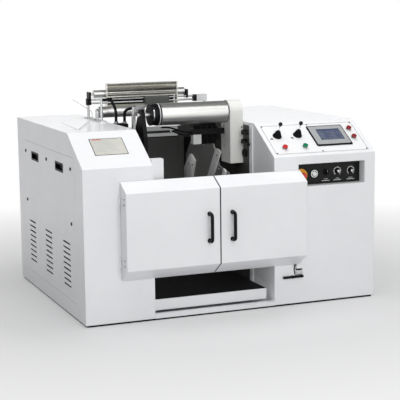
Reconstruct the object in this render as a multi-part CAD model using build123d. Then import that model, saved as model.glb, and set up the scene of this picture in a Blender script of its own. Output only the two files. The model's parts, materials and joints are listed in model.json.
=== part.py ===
from build123d import *
import math
import os

# A sample warping machine: two sheet metal cabinets joined by a low base, with a bay between
# them for the beam, a pair of guard doors in front of the bay, a measuring roller and a reed
# above it, and a sloping control console on the right.
# The model is drawn with X from the left side, Y from the front plate and Z from the lower
# edge of the cabinets. write_node moves every piece so that the origin lies on the floor
# under the middle of the machine. All sizes are in millimetres.

# Cabinets
WIDTH = 2080.0
DEPTH = 1645.0
FRONT_HEIGHT = 1000.0
TOP_HEIGHT = 1200.0
SLOPE_DEPTH = 322.0
LEFT_WIDTH = 468.0
RIGHT_START = 1320.0
WALL = 6.0
BEND = 5.0
FOOT_HEIGHT = 12.0
FOOT_LENGTH = 115.0
FOOT_WIDTH = 70.0
FOOT_INSET = 12.0
STUD_RADIUS = 10.0

# Side service panels
PANEL_T = 3.0
PANEL_GAP = 1.5
PANEL_FRONT = 178.0
PANEL_BACK = 1475.0
PANEL_LOW = 101.0
PANEL_HIGH = 1050.0
PANEL_CORNER = 22.0
LEDGE = 20.0
SLOT_LENGTH = 165.0
SLOT_HEIGHT = 11.0
SLOT_ROWS = 9
SLOT_PITCH = 35.6
SLOT_LOW = 188.0
SLOT_COLUMNS = (396.5, 842.0, 1277.5)
GRIP_LENGTH = 190.0
GRIP_HEIGHT = 62.0
GRIP_RIM = 6.0
GRIP_DEPTH = 26.0
GRIP_Z = 958.0
GRIP_COLUMNS = (529.0, 1158.0)
LOCK_PLACES = ((261.0, 974.0), (847.0, 974.0), (1413.0, 975.0), (267.0, 616.0), (1405.0, 619.0))
LOCK_RADIUS = 11.0
LOCK_PROUD = 4.0

# Base and bay
RAIL_HEIGHT = 28.0
RAIL_DEPTH = 40.0
FLOOR_T = 4.0
REAR_RAIL_HEIGHT = 60.0
BACK_PANEL_Y = 1300.0
BACK_PANEL_TOP = 1028.0
BACK_PANEL_RIGHT = 1144.0
BACK_STRIP_RIGHT = 1184.0
LINER_T = 3.0
LINER_FRONT = 385.0
LINER_MARGIN = 20.0
CROSSBAR_DEPTH = 30.0
LOW_BAR = (TOP_HEIGHT - 163.0, TOP_HEIGHT - 140.0)
HIGH_BAR = (TOP_HEIGHT - 120.0, TOP_HEIGHT - 88.0)
POST_WIDTH = 82.0
POST_FRONT = 25.0
POST_DEPTH = 60.0
POST_LOW = 400.0
POST_TOP = 1035.0
TRIM_FRONT = 338.0
TRIM_T = 8.0

# Guard doors
DOOR_LEFT = 245.0
DOOR_RIGHT = 1505.0
DOOR_SEAM = 885.0
SEAM_GAP = 3.0
DOOR_OUT = 115.0
DOOR_GAP = 2.0
DOOR_T = 2.5
DOOR_TOP = 908.0
DOOR_FACE_TOP = 846.0
DOOR_FACE_LOW = 350.0
DOOR_LOW = 270.0
HINGE_HEIGHTS = (786.0, 392.0)
KNUCKLE_RADIUS = 6.0
KNUCKLE_HEIGHT = 22.0
HINGE_PIN = 3.0
HINGE_PLAY = 0.3
LEAF_DEPTH = 52.0
LEAF_T = 2.5
FIT = 0.05
HANDLE_FROM_SEAM = 80.0
HANDLE_Z = 594.0
HANDLE_SPAN = 176.0
HANDLE_REACH = 48.0
HANDLE_RADIUS = 11.0
HANDLE_BEND = 18.0
HANDLE_FOOT_RADIUS = 15.0
HANDLE_FOOT_T = 6.0

# Toggle latch under the right door
LATCH_HUB_X = 1449.0
LATCH_HUB_Z = 185.0
LATCH_PLATE = (1457.0, 1532.0, 186.0, 242.0)
LATCH_PLATE_T = 4.0
LATCH_HUB_RADIUS = 10.0
LATCH_PIN = 5.0
LATCH_BAR_LEFT = 70.0
LATCH_BAR_RIGHT = 82.0
LATCH_BAR_T = 8.0

# Beam lift table
TABLE_LEFT = 476.0
TABLE_RIGHT = 1288.0
TABLE_FRONT = 62.0
TABLE_BACK = 960.0
TABLE_LOW = 38.0
TABLE_TOP = 110.0
TABLE_T = 4.0
MAT_T = 3.0
MAT_INSET = 5.0
COLUMN_X = (560.0, 1150.0)
COLUMN_Y = 1005.0
COLUMN_RADIUS = 20.0
COLUMN_TOP = 520.0
BUSH_RADIUS = 34.0
BUSH_HEIGHT = 90.0
CYLINDER_X = 855.0
CYLINDER_RADIUS = 32.0
CYLINDER_TOP = 360.0
LIFT_ROD = 14.0
CROSSHEAD_TOP = 402.0
CROSSHEAD_T = 14.0
CROSSHEAD_WIDTH = 80.0

# Beam axis: headstock on the right, tailstock on the left
BEAM_Y = 560.0
BEAM_Z = 640.0
HEAD_PLATE_X = 1196.0
HEAD_PLATE_T = 12.0
HEAD_PLATE_PROFILE = ((480, 400), (480, 850), (650, 880), (760, 1030), (1155, 1045), (1290, 885), (1290, 4),
                      (1060, 4), (1060, 400))
CHUCK_FACE_X = 1160.0
CHUCK_RADIUS = 75.0
CHUCK_T = 18.0
SPINDLE_RADIUS = 25.0
SPINDLE_END = 1402.0
HOUSING_RADIUS = 58.0
HOUSING_END = 1290.0
PULLEY_X = 1352.0
PULLEY_WIDTH = 38.0
PULLEY_RADIUS = 112.0
MOTOR_PULLEY_RADIUS = 56.0
MOTOR_Y = 930.0
MOTOR_Z = 260.0
MOTOR_RADIUS = 112.0
MOTOR_LENGTH = 330.0
MOTOR_SHAFT = 14.0
BELT_T = 5.0
BELT_CLEAR = 0.3
DRIVE_PIN_RADIUS = 7.0
DRIVE_PIN_CIRCLE = 52.0
DRIVE_PIN_LENGTH = 22.0
CENTRE_RADIUS = 20.0
CENTRE_LENGTH = 34.0
TAIL_HOUSING_END = 585.0
TAIL_HOUSING_RADIUS = 60.0
TAIL_FLANGE_RADIUS = 92.0
TAIL_FLANGE_T = 16.0
QUILL_RADIUS = 35.0
QUILL_START = 500.0
QUILL_END = 612.0
TAIL_CHUCK_END = 640.0
LINK_LINES = (((1270, 735), (1160, 875), 62.0), ((805, 791), (662, 983), 30.0),
              ((565, 752), (535, 850), 24.0))
LINK_T = 10.0

# Measuring roller with its arms
ROLLER_Y = 577.0
ROLLER_Z = TOP_HEIGHT + 68.0
ROLLER_RADIUS = 76.0
ROLLER_WALL = 6.0
ROLLER_START = 726.0
ROLLER_END = 1214.0
JOURNAL = 15.0
JOURNAL_START = 573.0
JOURNAL_END = 1296.0
HUB_STEPS = ((656.0, 664.0, 74.0), (664.0, 672.0, 64.0), (672.0, 699.0, 72.0),
             (699.0, 719.0, 76.0), (719.0, 726.0, 70.0))
ARM_X = 585.0
ARM_T = 28.0
ARM_EYE = 40.0
ARM_FRONT = 495.0
ARM_BACK = 730.0
ARM_SHOULDER = TOP_HEIGHT - 35.0
ARM_LOW = 730.0
ARM_FOOT = (530.0, 700.0, 760.0, 1000.0)
COVER_LEFT = 1220.0
COVER_FRONT = 497.0
COVER_LOW = TOP_HEIGHT - 288.0
COVER_T = 4.0
BLOCK_SIZE = 92.0
BLOCK_LEFT = 1240.0
BLOCK_PLATE_T = 18.0
BOSS_T = 10.0
BOSS_TOP = TOP_HEIGHT - 30.0
COVER_SCREW_X = 1306.0
COVER_SCREWS = (TOP_HEIGHT - 38.0, TOP_HEIGHT - 135.0)

# Brake cylinder, hoses and yarn monitor beside the roller
BRAKE_X = (588.0, 612.0)
BRAKE_DEPTH = 26.0
BRAKE_LOW = TOP_HEIGHT - 200.0
BRAKE_TOP = TOP_HEIGHT + 68.0
BRAKE_BLOCK = (622.0, 676.0, TOP_HEIGHT + 83.0, TOP_HEIGHT + 122.0)
BRAKE_BLOCK_DEPTH = 40.0
BRAKE_STEM = 9.0
HOSE_RADIUS = 10.0
MANIFOLD = (500.0, 582.0, 800.0, 900.0, TOP_HEIGHT - 80.0, TOP_HEIGHT - 8.0)
MONITOR_BAR = (975.0, 1220.0, 600.0, 640.0, TOP_HEIGHT - 88.0, TOP_HEIGHT - 48.0)
MONITOR_BOX = (984.0, 1044.0, 596.0, 644.0, TOP_HEIGHT - 153.0, TOP_HEIGHT - 86.0)

# Reed, guide rods and guide rollers above the bay
STAND_LEFT = 412.0
STAND_WIDTH = 54.0
STAND_FRONT = 930.0
STAND_BACK = 1310.0
STAND_T = 6.0
STAND_POST = 9.0
FRONT_POST_Y = 962.0
FRONT_POST_TOP = TOP_HEIGHT + 165.0
SHORT_POST_TOP = TOP_HEIGHT + 96.0
REAR_POST_Y = 1278.0
ROD_RADIUS = 7.0
ROD_Y = 1270.0
ROD_HEIGHTS = (TOP_HEIGHT + 133.0, TOP_HEIGHT + 108.0)
END_BLOCK = (1254.0, 1276.0)
END_BLOCK_Z = (TOP_HEIGHT + 94.0, TOP_HEIGHT + 142.0)
REED_LEFT = 575.0
REED_RIGHT = 1112.0
REED_FRONT = 1250.0
REED_LOW = TOP_HEIGHT + 146.0
REED_TOP = REED_LOW + 101.0
REED_T = 12.0
REED_CHEEK_T = 7.0
REED_SILL = (TOP_HEIGHT + 78.0, TOP_HEIGHT + 94.0)
COMB_LOW = TOP_HEIGHT + 12.0
COMB_BAR = 9.0
COMB_PITCH = 12.0
COMB_BLADE_T = 1.4
CARRIAGE = (865.0, 1050.0)
CARRIAGE_Z = (TOP_HEIGHT + 77.0, TOP_HEIGHT + 140.0)
CARRIAGE_FRONT = 1232.0
UPPER_ROLLER = (486.0, 1194.0)
UPPER_ROLLER_Y = 1306.0
UPPER_ROLLER_Z = TOP_HEIGHT + 170.0
UPPER_ROLLER_RADIUS = 28.0
LOWER_ROLLER = (434.0, 1354.0)
LOWER_ROLLER_Y = 1022.0
LOWER_ROLLER_Z = TOP_HEIGHT + 62.0
LOWER_ROLLER_RADIUS = 39.0
GUIDE_JOURNAL = 8.0
LUG_T = 12.0
LUG_GAP = 4.0
WIRE_RADIUS = 2.5

# Control console on the right slope, measured from the left side and up the slope
CONSOLE = (1346.0, 2046.0, 25.0, 343.0)
CONSOLE_T = 2.0
CONSOLE_CUT = 18.0
CONSOLE_CORNER = 8.0
SCREW_HEAD = 4.5
SCREW_T = 2.2
SCREEN = (1680.0, 1950.0, 90.0, 306.0)
SCREEN_T = 9.0
SCREEN_CORNER = 6.0
SCREEN_BEVEL = 2.0
GLASS = (1733.0, 1912.0, 143.0, 263.0)
GLASS_SINK = 1.0
BUTTONS = {"red_button": (1431.0, 86.0), "green_button": (1582.0, 87.0),
           "upper_button": (1990.0, 255.0), "lower_button": (1987.0, 160.0)}
BEZEL_RADIUS = 15.0
BEZEL_T = 9.0
CAP_RADIUS = 12.0
CAP_TOP = 20.0
CAP_STEM = 8.0
CAP_TRAVEL = 4.0
JOYSTICKS = ((1430.0, 222.0), (1583.0, 222.0))
BOOT_RADIUS = 31.0
BOOT_HEIGHT = 44.0
BOOT_TOP_RADIUS = 17.0
BOOT_MOUTH = 14.2
BOOT_FOLDS = 3
STICK_RADIUS = 4.0
BALL_RADIUS = 14.0
BALL_HEIGHT = 104.0
STICK_BALL = 8.0
STICK_SWING = 16.0
SOCKET_DEPTH = 9.0

# Instrument panel in the recess under the console
RECESS = (1498.0, 2000.0, 794.0, 944.0)
RECESS_DEPTH = 75.0
RECESS_T = 3.0
PANEL_BLACK_T = 3.0
ESTOP = (1552.0, 856.0)
ESTOP_RADIUS = 30.0
ESTOP_REACH = 46.0
KEY = (1652.0, 865.0)
KEY_RING = 33.0
KEY_BARREL = 15.0
SELECTOR = (1740.0, 872.0)
SELECTOR_RADIUS = 17.0
DIALS = ((1828.0, 874.0), (1931.0, 873.0))
DIAL_KNOB = 14.0
KNOB_STEM = 5.0
KNOB_REACH = 22.0
RING_T = 3.0

# Fittings on the bay's right wall
LEVERS = (("upper_clamp_lever", 440.0, TOP_HEIGHT - 68.0, 62.0, -2.0),
          ("lower_clamp_lever", 442.0, TOP_HEIGHT - 130.0, 92.0, -14.0))
LEVER_HUB = 17.0
LEVER_REACH = 34.0
LEVER_ARM = 8.0
LEVER_PIN = 7.0
SIGHT = (462.0, 984.0)
SIGHT_RADIUS = 29.0
SIGHT_BORE = 15.0
SIGHT_T = 12.0

# Values that follow from the sizes above
SLOPE_RISE = TOP_HEIGHT - FRONT_HEIGHT
SLOPE_ANGLE = math.degrees(math.atan2(SLOPE_RISE, SLOPE_DEPTH))
WALL_FACE = RIGHT_START - LINER_T
BAY_MIDDLE = (LEFT_WIDTH + RIGHT_START) / 2
FRONT_REACH = DOOR_OUT + HANDLE_REACH + HANDLE_RADIUS
ORIGIN = Vector(WIDTH / 2, (DEPTH - FRONT_REACH) / 2, -FOOT_HEIGHT)

os.makedirs("parts", exist_ok=True)


def write_node(name, *solids):
    """Move the solids of one node into the machine's frame and write them to one file."""
    moved = [Pos(-ORIGIN.X, -ORIGIN.Y, -ORIGIN.Z) * solid for solid in solids]
    export_step(moved[0] if len(moved) == 1 else Compound(children=moved), f"parts/{name}.step")


def block(x0, x1, y0, y1, z0, z1):
    """A straight-sided block between two corners."""
    return Pos((x0 + x1) / 2, (y0 + y1) / 2, (z0 + z1) / 2) * Box(x1 - x0, y1 - y0, z1 - z0)


def bar_x(x0, x1, y, z, radius):
    return Pos((x0 + x1) / 2, y, z) * Rot(0, 90, 0) * Cylinder(radius, x1 - x0)


def bar_y(x, y0, y1, z, radius):
    return Pos(x, (y0 + y1) / 2, z) * Rot(90, 0, 0) * Cylinder(radius, y1 - y0)


def bar_z(x, y, z0, z1, radius):
    return Pos(x, y, (z0 + z1) / 2) * Cylinder(radius, z1 - z0)


def side_face(points, x):
    """A face in the plane across the machine at x, from points given as depth and height."""
    return make_face(Polyline([(x, y, z) for y, z in points], close=True))


def side_plate(points, x0, x1):
    """A plate with its outline in depth and height, from x0 to x1."""
    return extrude(side_face(points, x0), amount=x1 - x0, dir=(1, 0, 0))


def on_slope(x, s, h=0.0):
    """A place on the sloping top, s up the slope and h out of it."""
    plane = Plane(origin=(0, 0, FRONT_HEIGHT), x_dir=(1, 0, 0),
                  z_dir=(0, -math.sin(math.radians(SLOPE_ANGLE)), math.cos(math.radians(SLOPE_ANGLE))))
    return plane.location * Pos(x, s, h)


def slope_slab(x0, x1, s0, s1, h0, h1, corner=0.0, bevel=0.0):
    """A flat piece that lies on the slope, with rounded corners and a bevelled upper edge."""
    outline = RectangleRounded(x1 - x0, s1 - s0, corner) if corner else Rectangle(x1 - x0, s1 - s0)
    slab = extrude(outline, amount=h1 - h0)
    if bevel:
        slab = chamfer(slab.edges().group_by(Axis.Z)[-1], bevel)
    return on_slope((x0 + x1) / 2, (s0 + s1) / 2, h0) * slab


def turned_ball(radius, bands=10):
    """A ball turned as a row of short cones."""
    outline = []
    for i in range(bands + 1):
        angle = math.pi * (i / bands - 0.5)
        outline.append((radius * math.cos(angle), 0, radius * math.sin(angle)))
    return revolve(make_face(Polyline(outline, close=True)), Axis.Z)


def slope_turned(place, outline):
    """A turned piece that stands on the slope, from an outline of radius and height."""
    face = make_face(Polyline([(r, 0, h) for r, h in outline], close=True))
    return on_slope(*place) * revolve(face, Axis.Z)


CABINET_PROFILE = ((0, 0), (0, FRONT_HEIGHT), (SLOPE_DEPTH, TOP_HEIGHT), (DEPTH, TOP_HEIGHT), (DEPTH, 0))


def cabinet_shell(x0, x1):
    """A closed cabinet of folded sheet with softly bent long edges."""
    outer = side_plate(CABINET_PROFILE, x0, x1)
    outer = fillet(outer.edges().filter_by(Axis.X), BEND)
    upright = outer.edges().filter_by(Axis.Z).filter_by(lambda e: e.length > FRONT_HEIGHT / 2)
    outer = fillet(upright, BEND / 2)
    inner = extrude(offset(side_face(CABINET_PROFILE, x0 + WALL), -WALL, kind=Kind.INTERSECTION),
                    amount=x1 - x0 - 2 * WALL, dir=(1, 0, 0))
    return outer - inner


def panel_outline(margin):
    """The service panel's outline, grown by margin, as a sketch of depth by height."""
    return RectangleRounded(PANEL_BACK - PANEL_FRONT + 2 * margin, PANEL_HIGH - PANEL_LOW + 2 * margin,
                            max(PANEL_CORNER + margin, 2.0))


def side_location(x, y, z, sign):
    """A frame on a cabinet's outer side at x, with its normal pointing out."""
    return Plane(origin=(x, y, z), x_dir=(0, 1, 0), z_dir=(sign, 0, 0)).location


PANEL_CENTRE = ((PANEL_FRONT + PANEL_BACK) / 2, (PANEL_LOW + PANEL_HIGH) / 2)


def panel_opening(x, sign):
    """The stepped opening that a service panel lies in, flush with the cabinet's side."""
    place = side_location(x, *PANEL_CENTRE, sign)
    step = extrude(panel_outline(PANEL_GAP), amount=-PANEL_T)
    through = extrude(panel_outline(-LEDGE), amount=-2 * WALL)
    return place * (step + through)


def service_panel(x, sign):
    """A flush sheet with three columns of vent slots and two holes for the grips."""
    place = side_location(x, *PANEL_CENTRE, sign)
    sheet = place * extrude(panel_outline(0.0), amount=-PANEL_T)
    for column in SLOT_COLUMNS:
        for row in range(SLOT_ROWS):
            spot = side_location(x, column, SLOT_LOW + row * SLOT_PITCH, sign)
            sheet -= spot * extrude(Rectangle(SLOT_LENGTH, SLOT_HEIGHT), amount=2 * PANEL_T, both=True)
    for column in GRIP_COLUMNS:
        hole = RectangleRounded(GRIP_LENGTH - 2 * GRIP_RIM, GRIP_HEIGHT - 2 * GRIP_RIM, GRIP_RIM)
        sheet -= side_location(x, column, GRIP_Z, sign) * extrude(hole, amount=2 * PANEL_T, both=True)
    for y, z in LOCK_PLACES:
        hole = extrude(Circle(LOCK_RADIUS / 2), amount=2 * PANEL_T, both=True)
        sheet -= side_location(x, y, z, sign) * hole
    return sheet


def panel_grip(x, y, sign):
    """A recessed pull: a cup through the panel with a rim that lies on it."""
    rim = RectangleRounded(GRIP_LENGTH, GRIP_HEIGHT, GRIP_RIM)
    cup = RectangleRounded(GRIP_LENGTH - 2 * GRIP_RIM - 1, GRIP_HEIGHT - 2 * GRIP_RIM - 1, GRIP_RIM - 1)
    well = RectangleRounded(GRIP_LENGTH - 4 * GRIP_RIM, GRIP_HEIGHT - 4 * GRIP_RIM, GRIP_RIM / 2)
    grip = extrude(rim, amount=PANEL_T / 2) + extrude(cup, amount=-GRIP_DEPTH)
    grip -= Pos(0, 0, PANEL_T / 2) * extrude(well, amount=-(GRIP_DEPTH - PANEL_T / 2))
    return side_location(x, y, GRIP_Z, sign) * grip


def panel_lock(x, y, z, sign):
    """A quarter-turn lock: a slotted head on the panel and a stem behind it."""
    head = Pos(0, 0, LOCK_PROUD / 2) * Cylinder(LOCK_RADIUS, LOCK_PROUD)
    head -= Pos(0, 0, LOCK_PROUD) * Box(LOCK_RADIUS * 1.5, 2.2, LOCK_PROUD)
    stem = Pos(0, 0, -WALL) * Cylinder(LOCK_RADIUS / 2 - 0.2, 2 * WALL)
    return side_location(x, y, z, sign) * (head + stem)


# Cabinets
left_cabinet = cabinet_shell(0, LEFT_WIDTH) - panel_opening(0, -1)

right_cabinet = cabinet_shell(RIGHT_START, WIDTH) - panel_opening(WIDTH, 1)
right_cabinet -= slope_slab(CONSOLE[0] + CONSOLE_CUT, CONSOLE[1] - CONSOLE_CUT, CONSOLE[2] + CONSOLE_CUT,
                            CONSOLE[3] - CONSOLE_CUT, -3 * WALL, 3 * WALL)
right_cabinet -= block(RECESS[0] - RECESS_T, RECESS[1] + RECESS_T, -WALL, 2 * WALL,
                       RECESS[2] - RECESS_T, RECESS[3] + RECESS_T)
right_cabinet -= bar_x(RIGHT_START - WALL, RIGHT_START + 2 * WALL, BEAM_Y, BEAM_Z, HOUSING_RADIUS)
for name, y, z, reach, drop in LEVERS:
    right_cabinet -= bar_x(RIGHT_START - 1, RIGHT_START + 2 * WALL, y, z, LEVER_PIN + FIT)
right_cabinet += block(RIGHT_START - TRIM_T, RIGHT_START, TRIM_FRONT, LINER_FRONT - 1,
                       RAIL_HEIGHT + 2, TOP_HEIGHT - LINER_MARGIN)
write_node("left_cabinet", left_cabinet)
write_node("right_cabinet", right_cabinet)

SIDES = ((0.0, -1), (WIDTH, 1))
write_node("service_panels", *[service_panel(x, sign) for x, sign in SIDES])
sight_ring = bar_x(WALL_FACE - SIGHT_T, WALL_FACE, *SIGHT, SIGHT_RADIUS)
sight_ring -= bar_x(WALL_FACE - SIGHT_T - 1, WALL_FACE - SIGHT_T / 2, *SIGHT, SIGHT_BORE)
grips = [panel_grip(x, y, sign) for x, sign in SIDES for y in GRIP_COLUMNS]
locks = [panel_lock(x, y, z, sign) for x, sign in SIDES for y, z in LOCK_PLACES]
write_node("black_fittings", *grips, *locks, sight_ring)


def levelling_foot(x, y):
    """A flat pad with rounded corners under a cabinet."""
    half_x = FOOT_WIDTH / 2
    half_y = FOOT_LENGTH / 2
    pad = block(x - half_x, x + half_x, y - half_y, y + half_y, -FOOT_HEIGHT, 0)
    return fillet(pad.edges().filter_by(Axis.Z), 8.0)


FOOT_X = [end + side * (FOOT_INSET + FOOT_WIDTH / 2)
          for end, side in ((0, 1), (LEFT_WIDTH, -1), (RIGHT_START, 1), (WIDTH, -1))]
FOOT_Y = (FOOT_INSET + FOOT_LENGTH / 2, DEPTH - FOOT_INSET - FOOT_LENGTH / 2)
write_node("levelling_feet", *[levelling_foot(x, y) for x in FOOT_X for y in FOOT_Y])

# Base between the cabinets, the crossbars behind and the stop post in front
front_rail = block(LEFT_WIDTH, RIGHT_START, 0, RAIL_DEPTH, 0, RAIL_HEIGHT)
rear_rail = block(LEFT_WIDTH, RIGHT_START, DEPTH - RAIL_DEPTH, DEPTH, 0, REAR_RAIL_HEIGHT)
bay_floor = block(LEFT_WIDTH, RIGHT_START, RAIL_DEPTH, DEPTH - RAIL_DEPTH, 0, FLOOR_T)
crossbars = [block(LEFT_WIDTH, RIGHT_START, BACK_PANEL_Y, BACK_PANEL_Y + CROSSBAR_DEPTH, *span)
             for span in (LOW_BAR, HIGH_BAR)]
stop_post = block(LEFT_WIDTH, LEFT_WIDTH + POST_WIDTH, POST_FRONT, POST_FRONT + POST_DEPTH, POST_LOW,
                  POST_TOP)
stop_post = fillet(stop_post.edges().filter_by(Axis.Z), BEND / 2)
write_node("base_frame", front_rail + bay_floor + rear_rail, *crossbars, stop_post)

# Dark sheets that line the bay
back_sheet = block(LEFT_WIDTH + LINER_T, BACK_PANEL_RIGHT, BACK_PANEL_Y, BACK_PANEL_Y + LINER_T,
                   FLOOR_T, BACK_PANEL_TOP)
back_return = block(BACK_PANEL_RIGHT - LINER_T, BACK_PANEL_RIGHT, BACK_PANEL_Y, BACK_PANEL_Y + CROSSBAR_DEPTH,
                    FLOOR_T, BACK_PANEL_TOP)
back_shield = block(BACK_PANEL_RIGHT - LINER_T, RIGHT_START, BACK_PANEL_Y + LINER_T / 2,
                    BACK_PANEL_Y + 1.5 * LINER_T, FLOOR_T, BACK_PANEL_TOP)
back_strip = block(BACK_PANEL_RIGHT - 2 * LINER_T, BACK_STRIP_RIGHT, BACK_PANEL_Y - LINER_T, BACK_PANEL_Y,
                   FLOOR_T, HIGH_BAR[1])
liner_left = block(LEFT_WIDTH, LEFT_WIDTH + LINER_T, LINER_FRONT, BACK_PANEL_Y, RAIL_HEIGHT,
                   TOP_HEIGHT - LINER_MARGIN)
liner_left -= bar_x(LEFT_WIDTH - 1, LEFT_WIDTH + 2 * LINER_T, BEAM_Y, BEAM_Z, TAIL_FLANGE_RADIUS + 1)
liner_left -= block(LEFT_WIDTH - 1, LEFT_WIDTH + 2 * LINER_T, ARM_FOOT[0] - 1, ARM_FOOT[1] + 1,
                    ARM_FOOT[2] - 1, ARM_FOOT[3] + 1)
liner_left -= block(LEFT_WIDTH - 1, LEFT_WIDTH + 2 * LINER_T, MANIFOLD[2] - 1, MANIFOLD[3] + 1,
                    MANIFOLD[4] - 1, MANIFOLD[5] + 1)
liner_right = block(WALL_FACE, RIGHT_START, LINER_FRONT, BACK_PANEL_Y, RAIL_HEIGHT, TOP_HEIGHT - LINER_MARGIN)
liner_right -= bar_x(WALL_FACE - 1, RIGHT_START + 1, BEAM_Y, BEAM_Z, HOUSING_RADIUS + 1)
for name, y, z, reach, drop in LEVERS:
    liner_right -= bar_x(WALL_FACE - 1, RIGHT_START + 1, y, z, LEVER_PIN + FIT)
write_node("bay_liners", back_sheet + back_return + back_shield + back_strip, liner_left, liner_right)

# Guard doors
TOP_FALL = (DOOR_TOP - DOOR_FACE_TOP) / (DOOR_OUT - DOOR_GAP)
LOW_FALL = (DOOR_FACE_LOW - DOOR_LOW) / (DOOR_OUT - DOOR_GAP)
DOOR_REACH_BACK = 20.0


def door_profile(back):
    """The door's section in depth and height, with its sloping faces carried on to back."""
    grown = back + DOOR_GAP
    return ((back, DOOR_TOP + grown * TOP_FALL), (-DOOR_OUT, DOOR_FACE_TOP),
            (-DOOR_OUT, DOOR_FACE_LOW), (back, DOOR_LOW - grown * LOW_FALL))


def hinge_leaf(side_x, sign, height):
    """A leaf on the door's side wall with two knuckles that turn on the fixed pin."""
    axis_x = side_x + sign * KNUCKLE_RADIUS
    axis_y = -KNUCKLE_RADIUS - HINGE_PLAY
    leaf = block(min(side_x, side_x + sign * LEAF_T), max(side_x, side_x + sign * LEAF_T),
                 axis_y - LEAF_DEPTH, axis_y, height - 1.5 * KNUCKLE_HEIGHT, height + 1.5 * KNUCKLE_HEIGHT)
    for low in (-1.5, 0.5):
        leaf += bar_z(axis_x, axis_y, height + low * KNUCKLE_HEIGHT, height + (low + 1) * KNUCKLE_HEIGHT,
                      KNUCKLE_RADIUS)
    middle = KNUCKLE_HEIGHT / 2 + HINGE_PLAY
    leaf -= block(axis_x - 2 * KNUCKLE_RADIUS, axis_x + 2 * KNUCKLE_RADIUS, axis_y - KNUCKLE_RADIUS - 1,
                  axis_y + KNUCKLE_RADIUS + 1, height - middle, height + middle)
    low = height - 2 * KNUCKLE_HEIGHT
    high = height + 2 * KNUCKLE_HEIGHT
    return leaf - bar_z(axis_x, axis_y, low, high, HINGE_PIN + FIT)


def fixed_hinge(side_x, sign, height):
    """The fixed knuckle with its pin, and the tab that holds it to the cabinet's front."""
    axis_x = side_x + sign * KNUCKLE_RADIUS
    axis_y = -KNUCKLE_RADIUS - HINGE_PLAY
    half = KNUCKLE_HEIGHT / 2
    knuckle = bar_z(axis_x, axis_y, height - half, height + half, KNUCKLE_RADIUS)
    pin = bar_z(axis_x, axis_y, height - 1.5 * KNUCKLE_HEIGHT, height + 1.5 * KNUCKLE_HEIGHT, HINGE_PIN)
    outer_x = axis_x + sign * KNUCKLE_RADIUS
    tab = block(min(axis_x, outer_x), max(axis_x, outer_x), axis_y, 0, height - half, height + half)
    return knuckle + pin + tab


def guard_door(x0, x1, hinge_x, sign):
    """A folded sheet door, open at the back, with its two hinge leaves."""
    outer = side_plate(door_profile(-DOOR_GAP), x0, x1)
    front_edges = outer.edges().filter_by(Axis.X).filter_by(lambda e: e.center().Y < -DOOR_OUT / 2)
    outer = fillet(front_edges, BEND)
    cavity = offset(side_face(door_profile(DOOR_REACH_BACK), x0 + DOOR_T), -DOOR_T, kind=Kind.INTERSECTION)
    door = outer - extrude(cavity, amount=x1 - x0 - 2 * DOOR_T, dir=(1, 0, 0))
    for height in HINGE_HEIGHTS:
        door += hinge_leaf(hinge_x, sign, height)
    return door


def door_handle(x):
    """A bridge handle: a round bar with two bends, on two round feet."""
    low = HANDLE_Z - HANDLE_SPAN / 2
    high = HANDLE_Z + HANDLE_SPAN / 2
    front = -DOOR_OUT - HANDLE_REACH
    path = FilletPolyline((x, -DOOR_OUT, low), (x, front, low), (x, front, high), (x, -DOOR_OUT, high),
                          radius=HANDLE_BEND)
    grip = sweep(Plane(origin=(x, -DOOR_OUT, low), z_dir=(0, -1, 0)) * Circle(HANDLE_RADIUS), path=path)
    for z in (low, high):
        grip += bar_y(x, -DOOR_OUT - HANDLE_FOOT_T, -DOOR_OUT, z, HANDLE_FOOT_RADIUS)
    return grip


write_node("left_door", guard_door(DOOR_LEFT, DOOR_SEAM - SEAM_GAP / 2, DOOR_LEFT, -1))
write_node("right_door", guard_door(DOOR_SEAM + SEAM_GAP / 2, DOOR_RIGHT, DOOR_RIGHT, 1))
write_node("left_door_handle", door_handle(DOOR_SEAM - HANDLE_FROM_SEAM))
write_node("right_door_handle", door_handle(DOOR_SEAM + HANDLE_FROM_SEAM))

# Fixed hinge halves and the plate of the toggle latch
latch_plate = block(LATCH_PLATE[0], LATCH_PLATE[1], -LATCH_PLATE_T, 0, LATCH_PLATE[2], LATCH_PLATE[3])
latch_foot = bar_y(LATCH_HUB_X, -LATCH_PLATE_T, 0, LATCH_HUB_Z, LATCH_HUB_RADIUS + 4)
latch_plate += latch_foot
latch_plate += bar_y(LATCH_HUB_X, -2 * LATCH_PLATE_T - LATCH_BAR_T, 0, LATCH_HUB_Z, LATCH_PIN)
write_node("door_hardware", *[fixed_hinge(x, sign, height) for x, sign in ((DOOR_LEFT, -1), (DOOR_RIGHT, 1))
                              for height in HINGE_HEIGHTS], latch_plate)

latch_lever = block(LATCH_HUB_X - LATCH_BAR_LEFT, LATCH_HUB_X + LATCH_BAR_RIGHT,
                    -LATCH_PLATE_T - HINGE_PLAY - LATCH_BAR_T, -LATCH_PLATE_T - HINGE_PLAY,
                    LATCH_HUB_Z - LATCH_BAR_T, LATCH_HUB_Z + LATCH_BAR_T)
latch_lever = fillet(latch_lever.edges().filter_by(Axis.Y), LATCH_BAR_T * 0.7)
latch_lever += bar_y(LATCH_HUB_X, -LATCH_PLATE_T - HINGE_PLAY - 1.5 * LATCH_BAR_T,
                     -LATCH_PLATE_T - HINGE_PLAY, LATCH_HUB_Z, LATCH_HUB_RADIUS)
latch_lever -= bar_y(LATCH_HUB_X, -3 * LATCH_BAR_T, 0, LATCH_HUB_Z, LATCH_PIN + FIT)
write_node("latch_lever", latch_lever)

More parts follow.
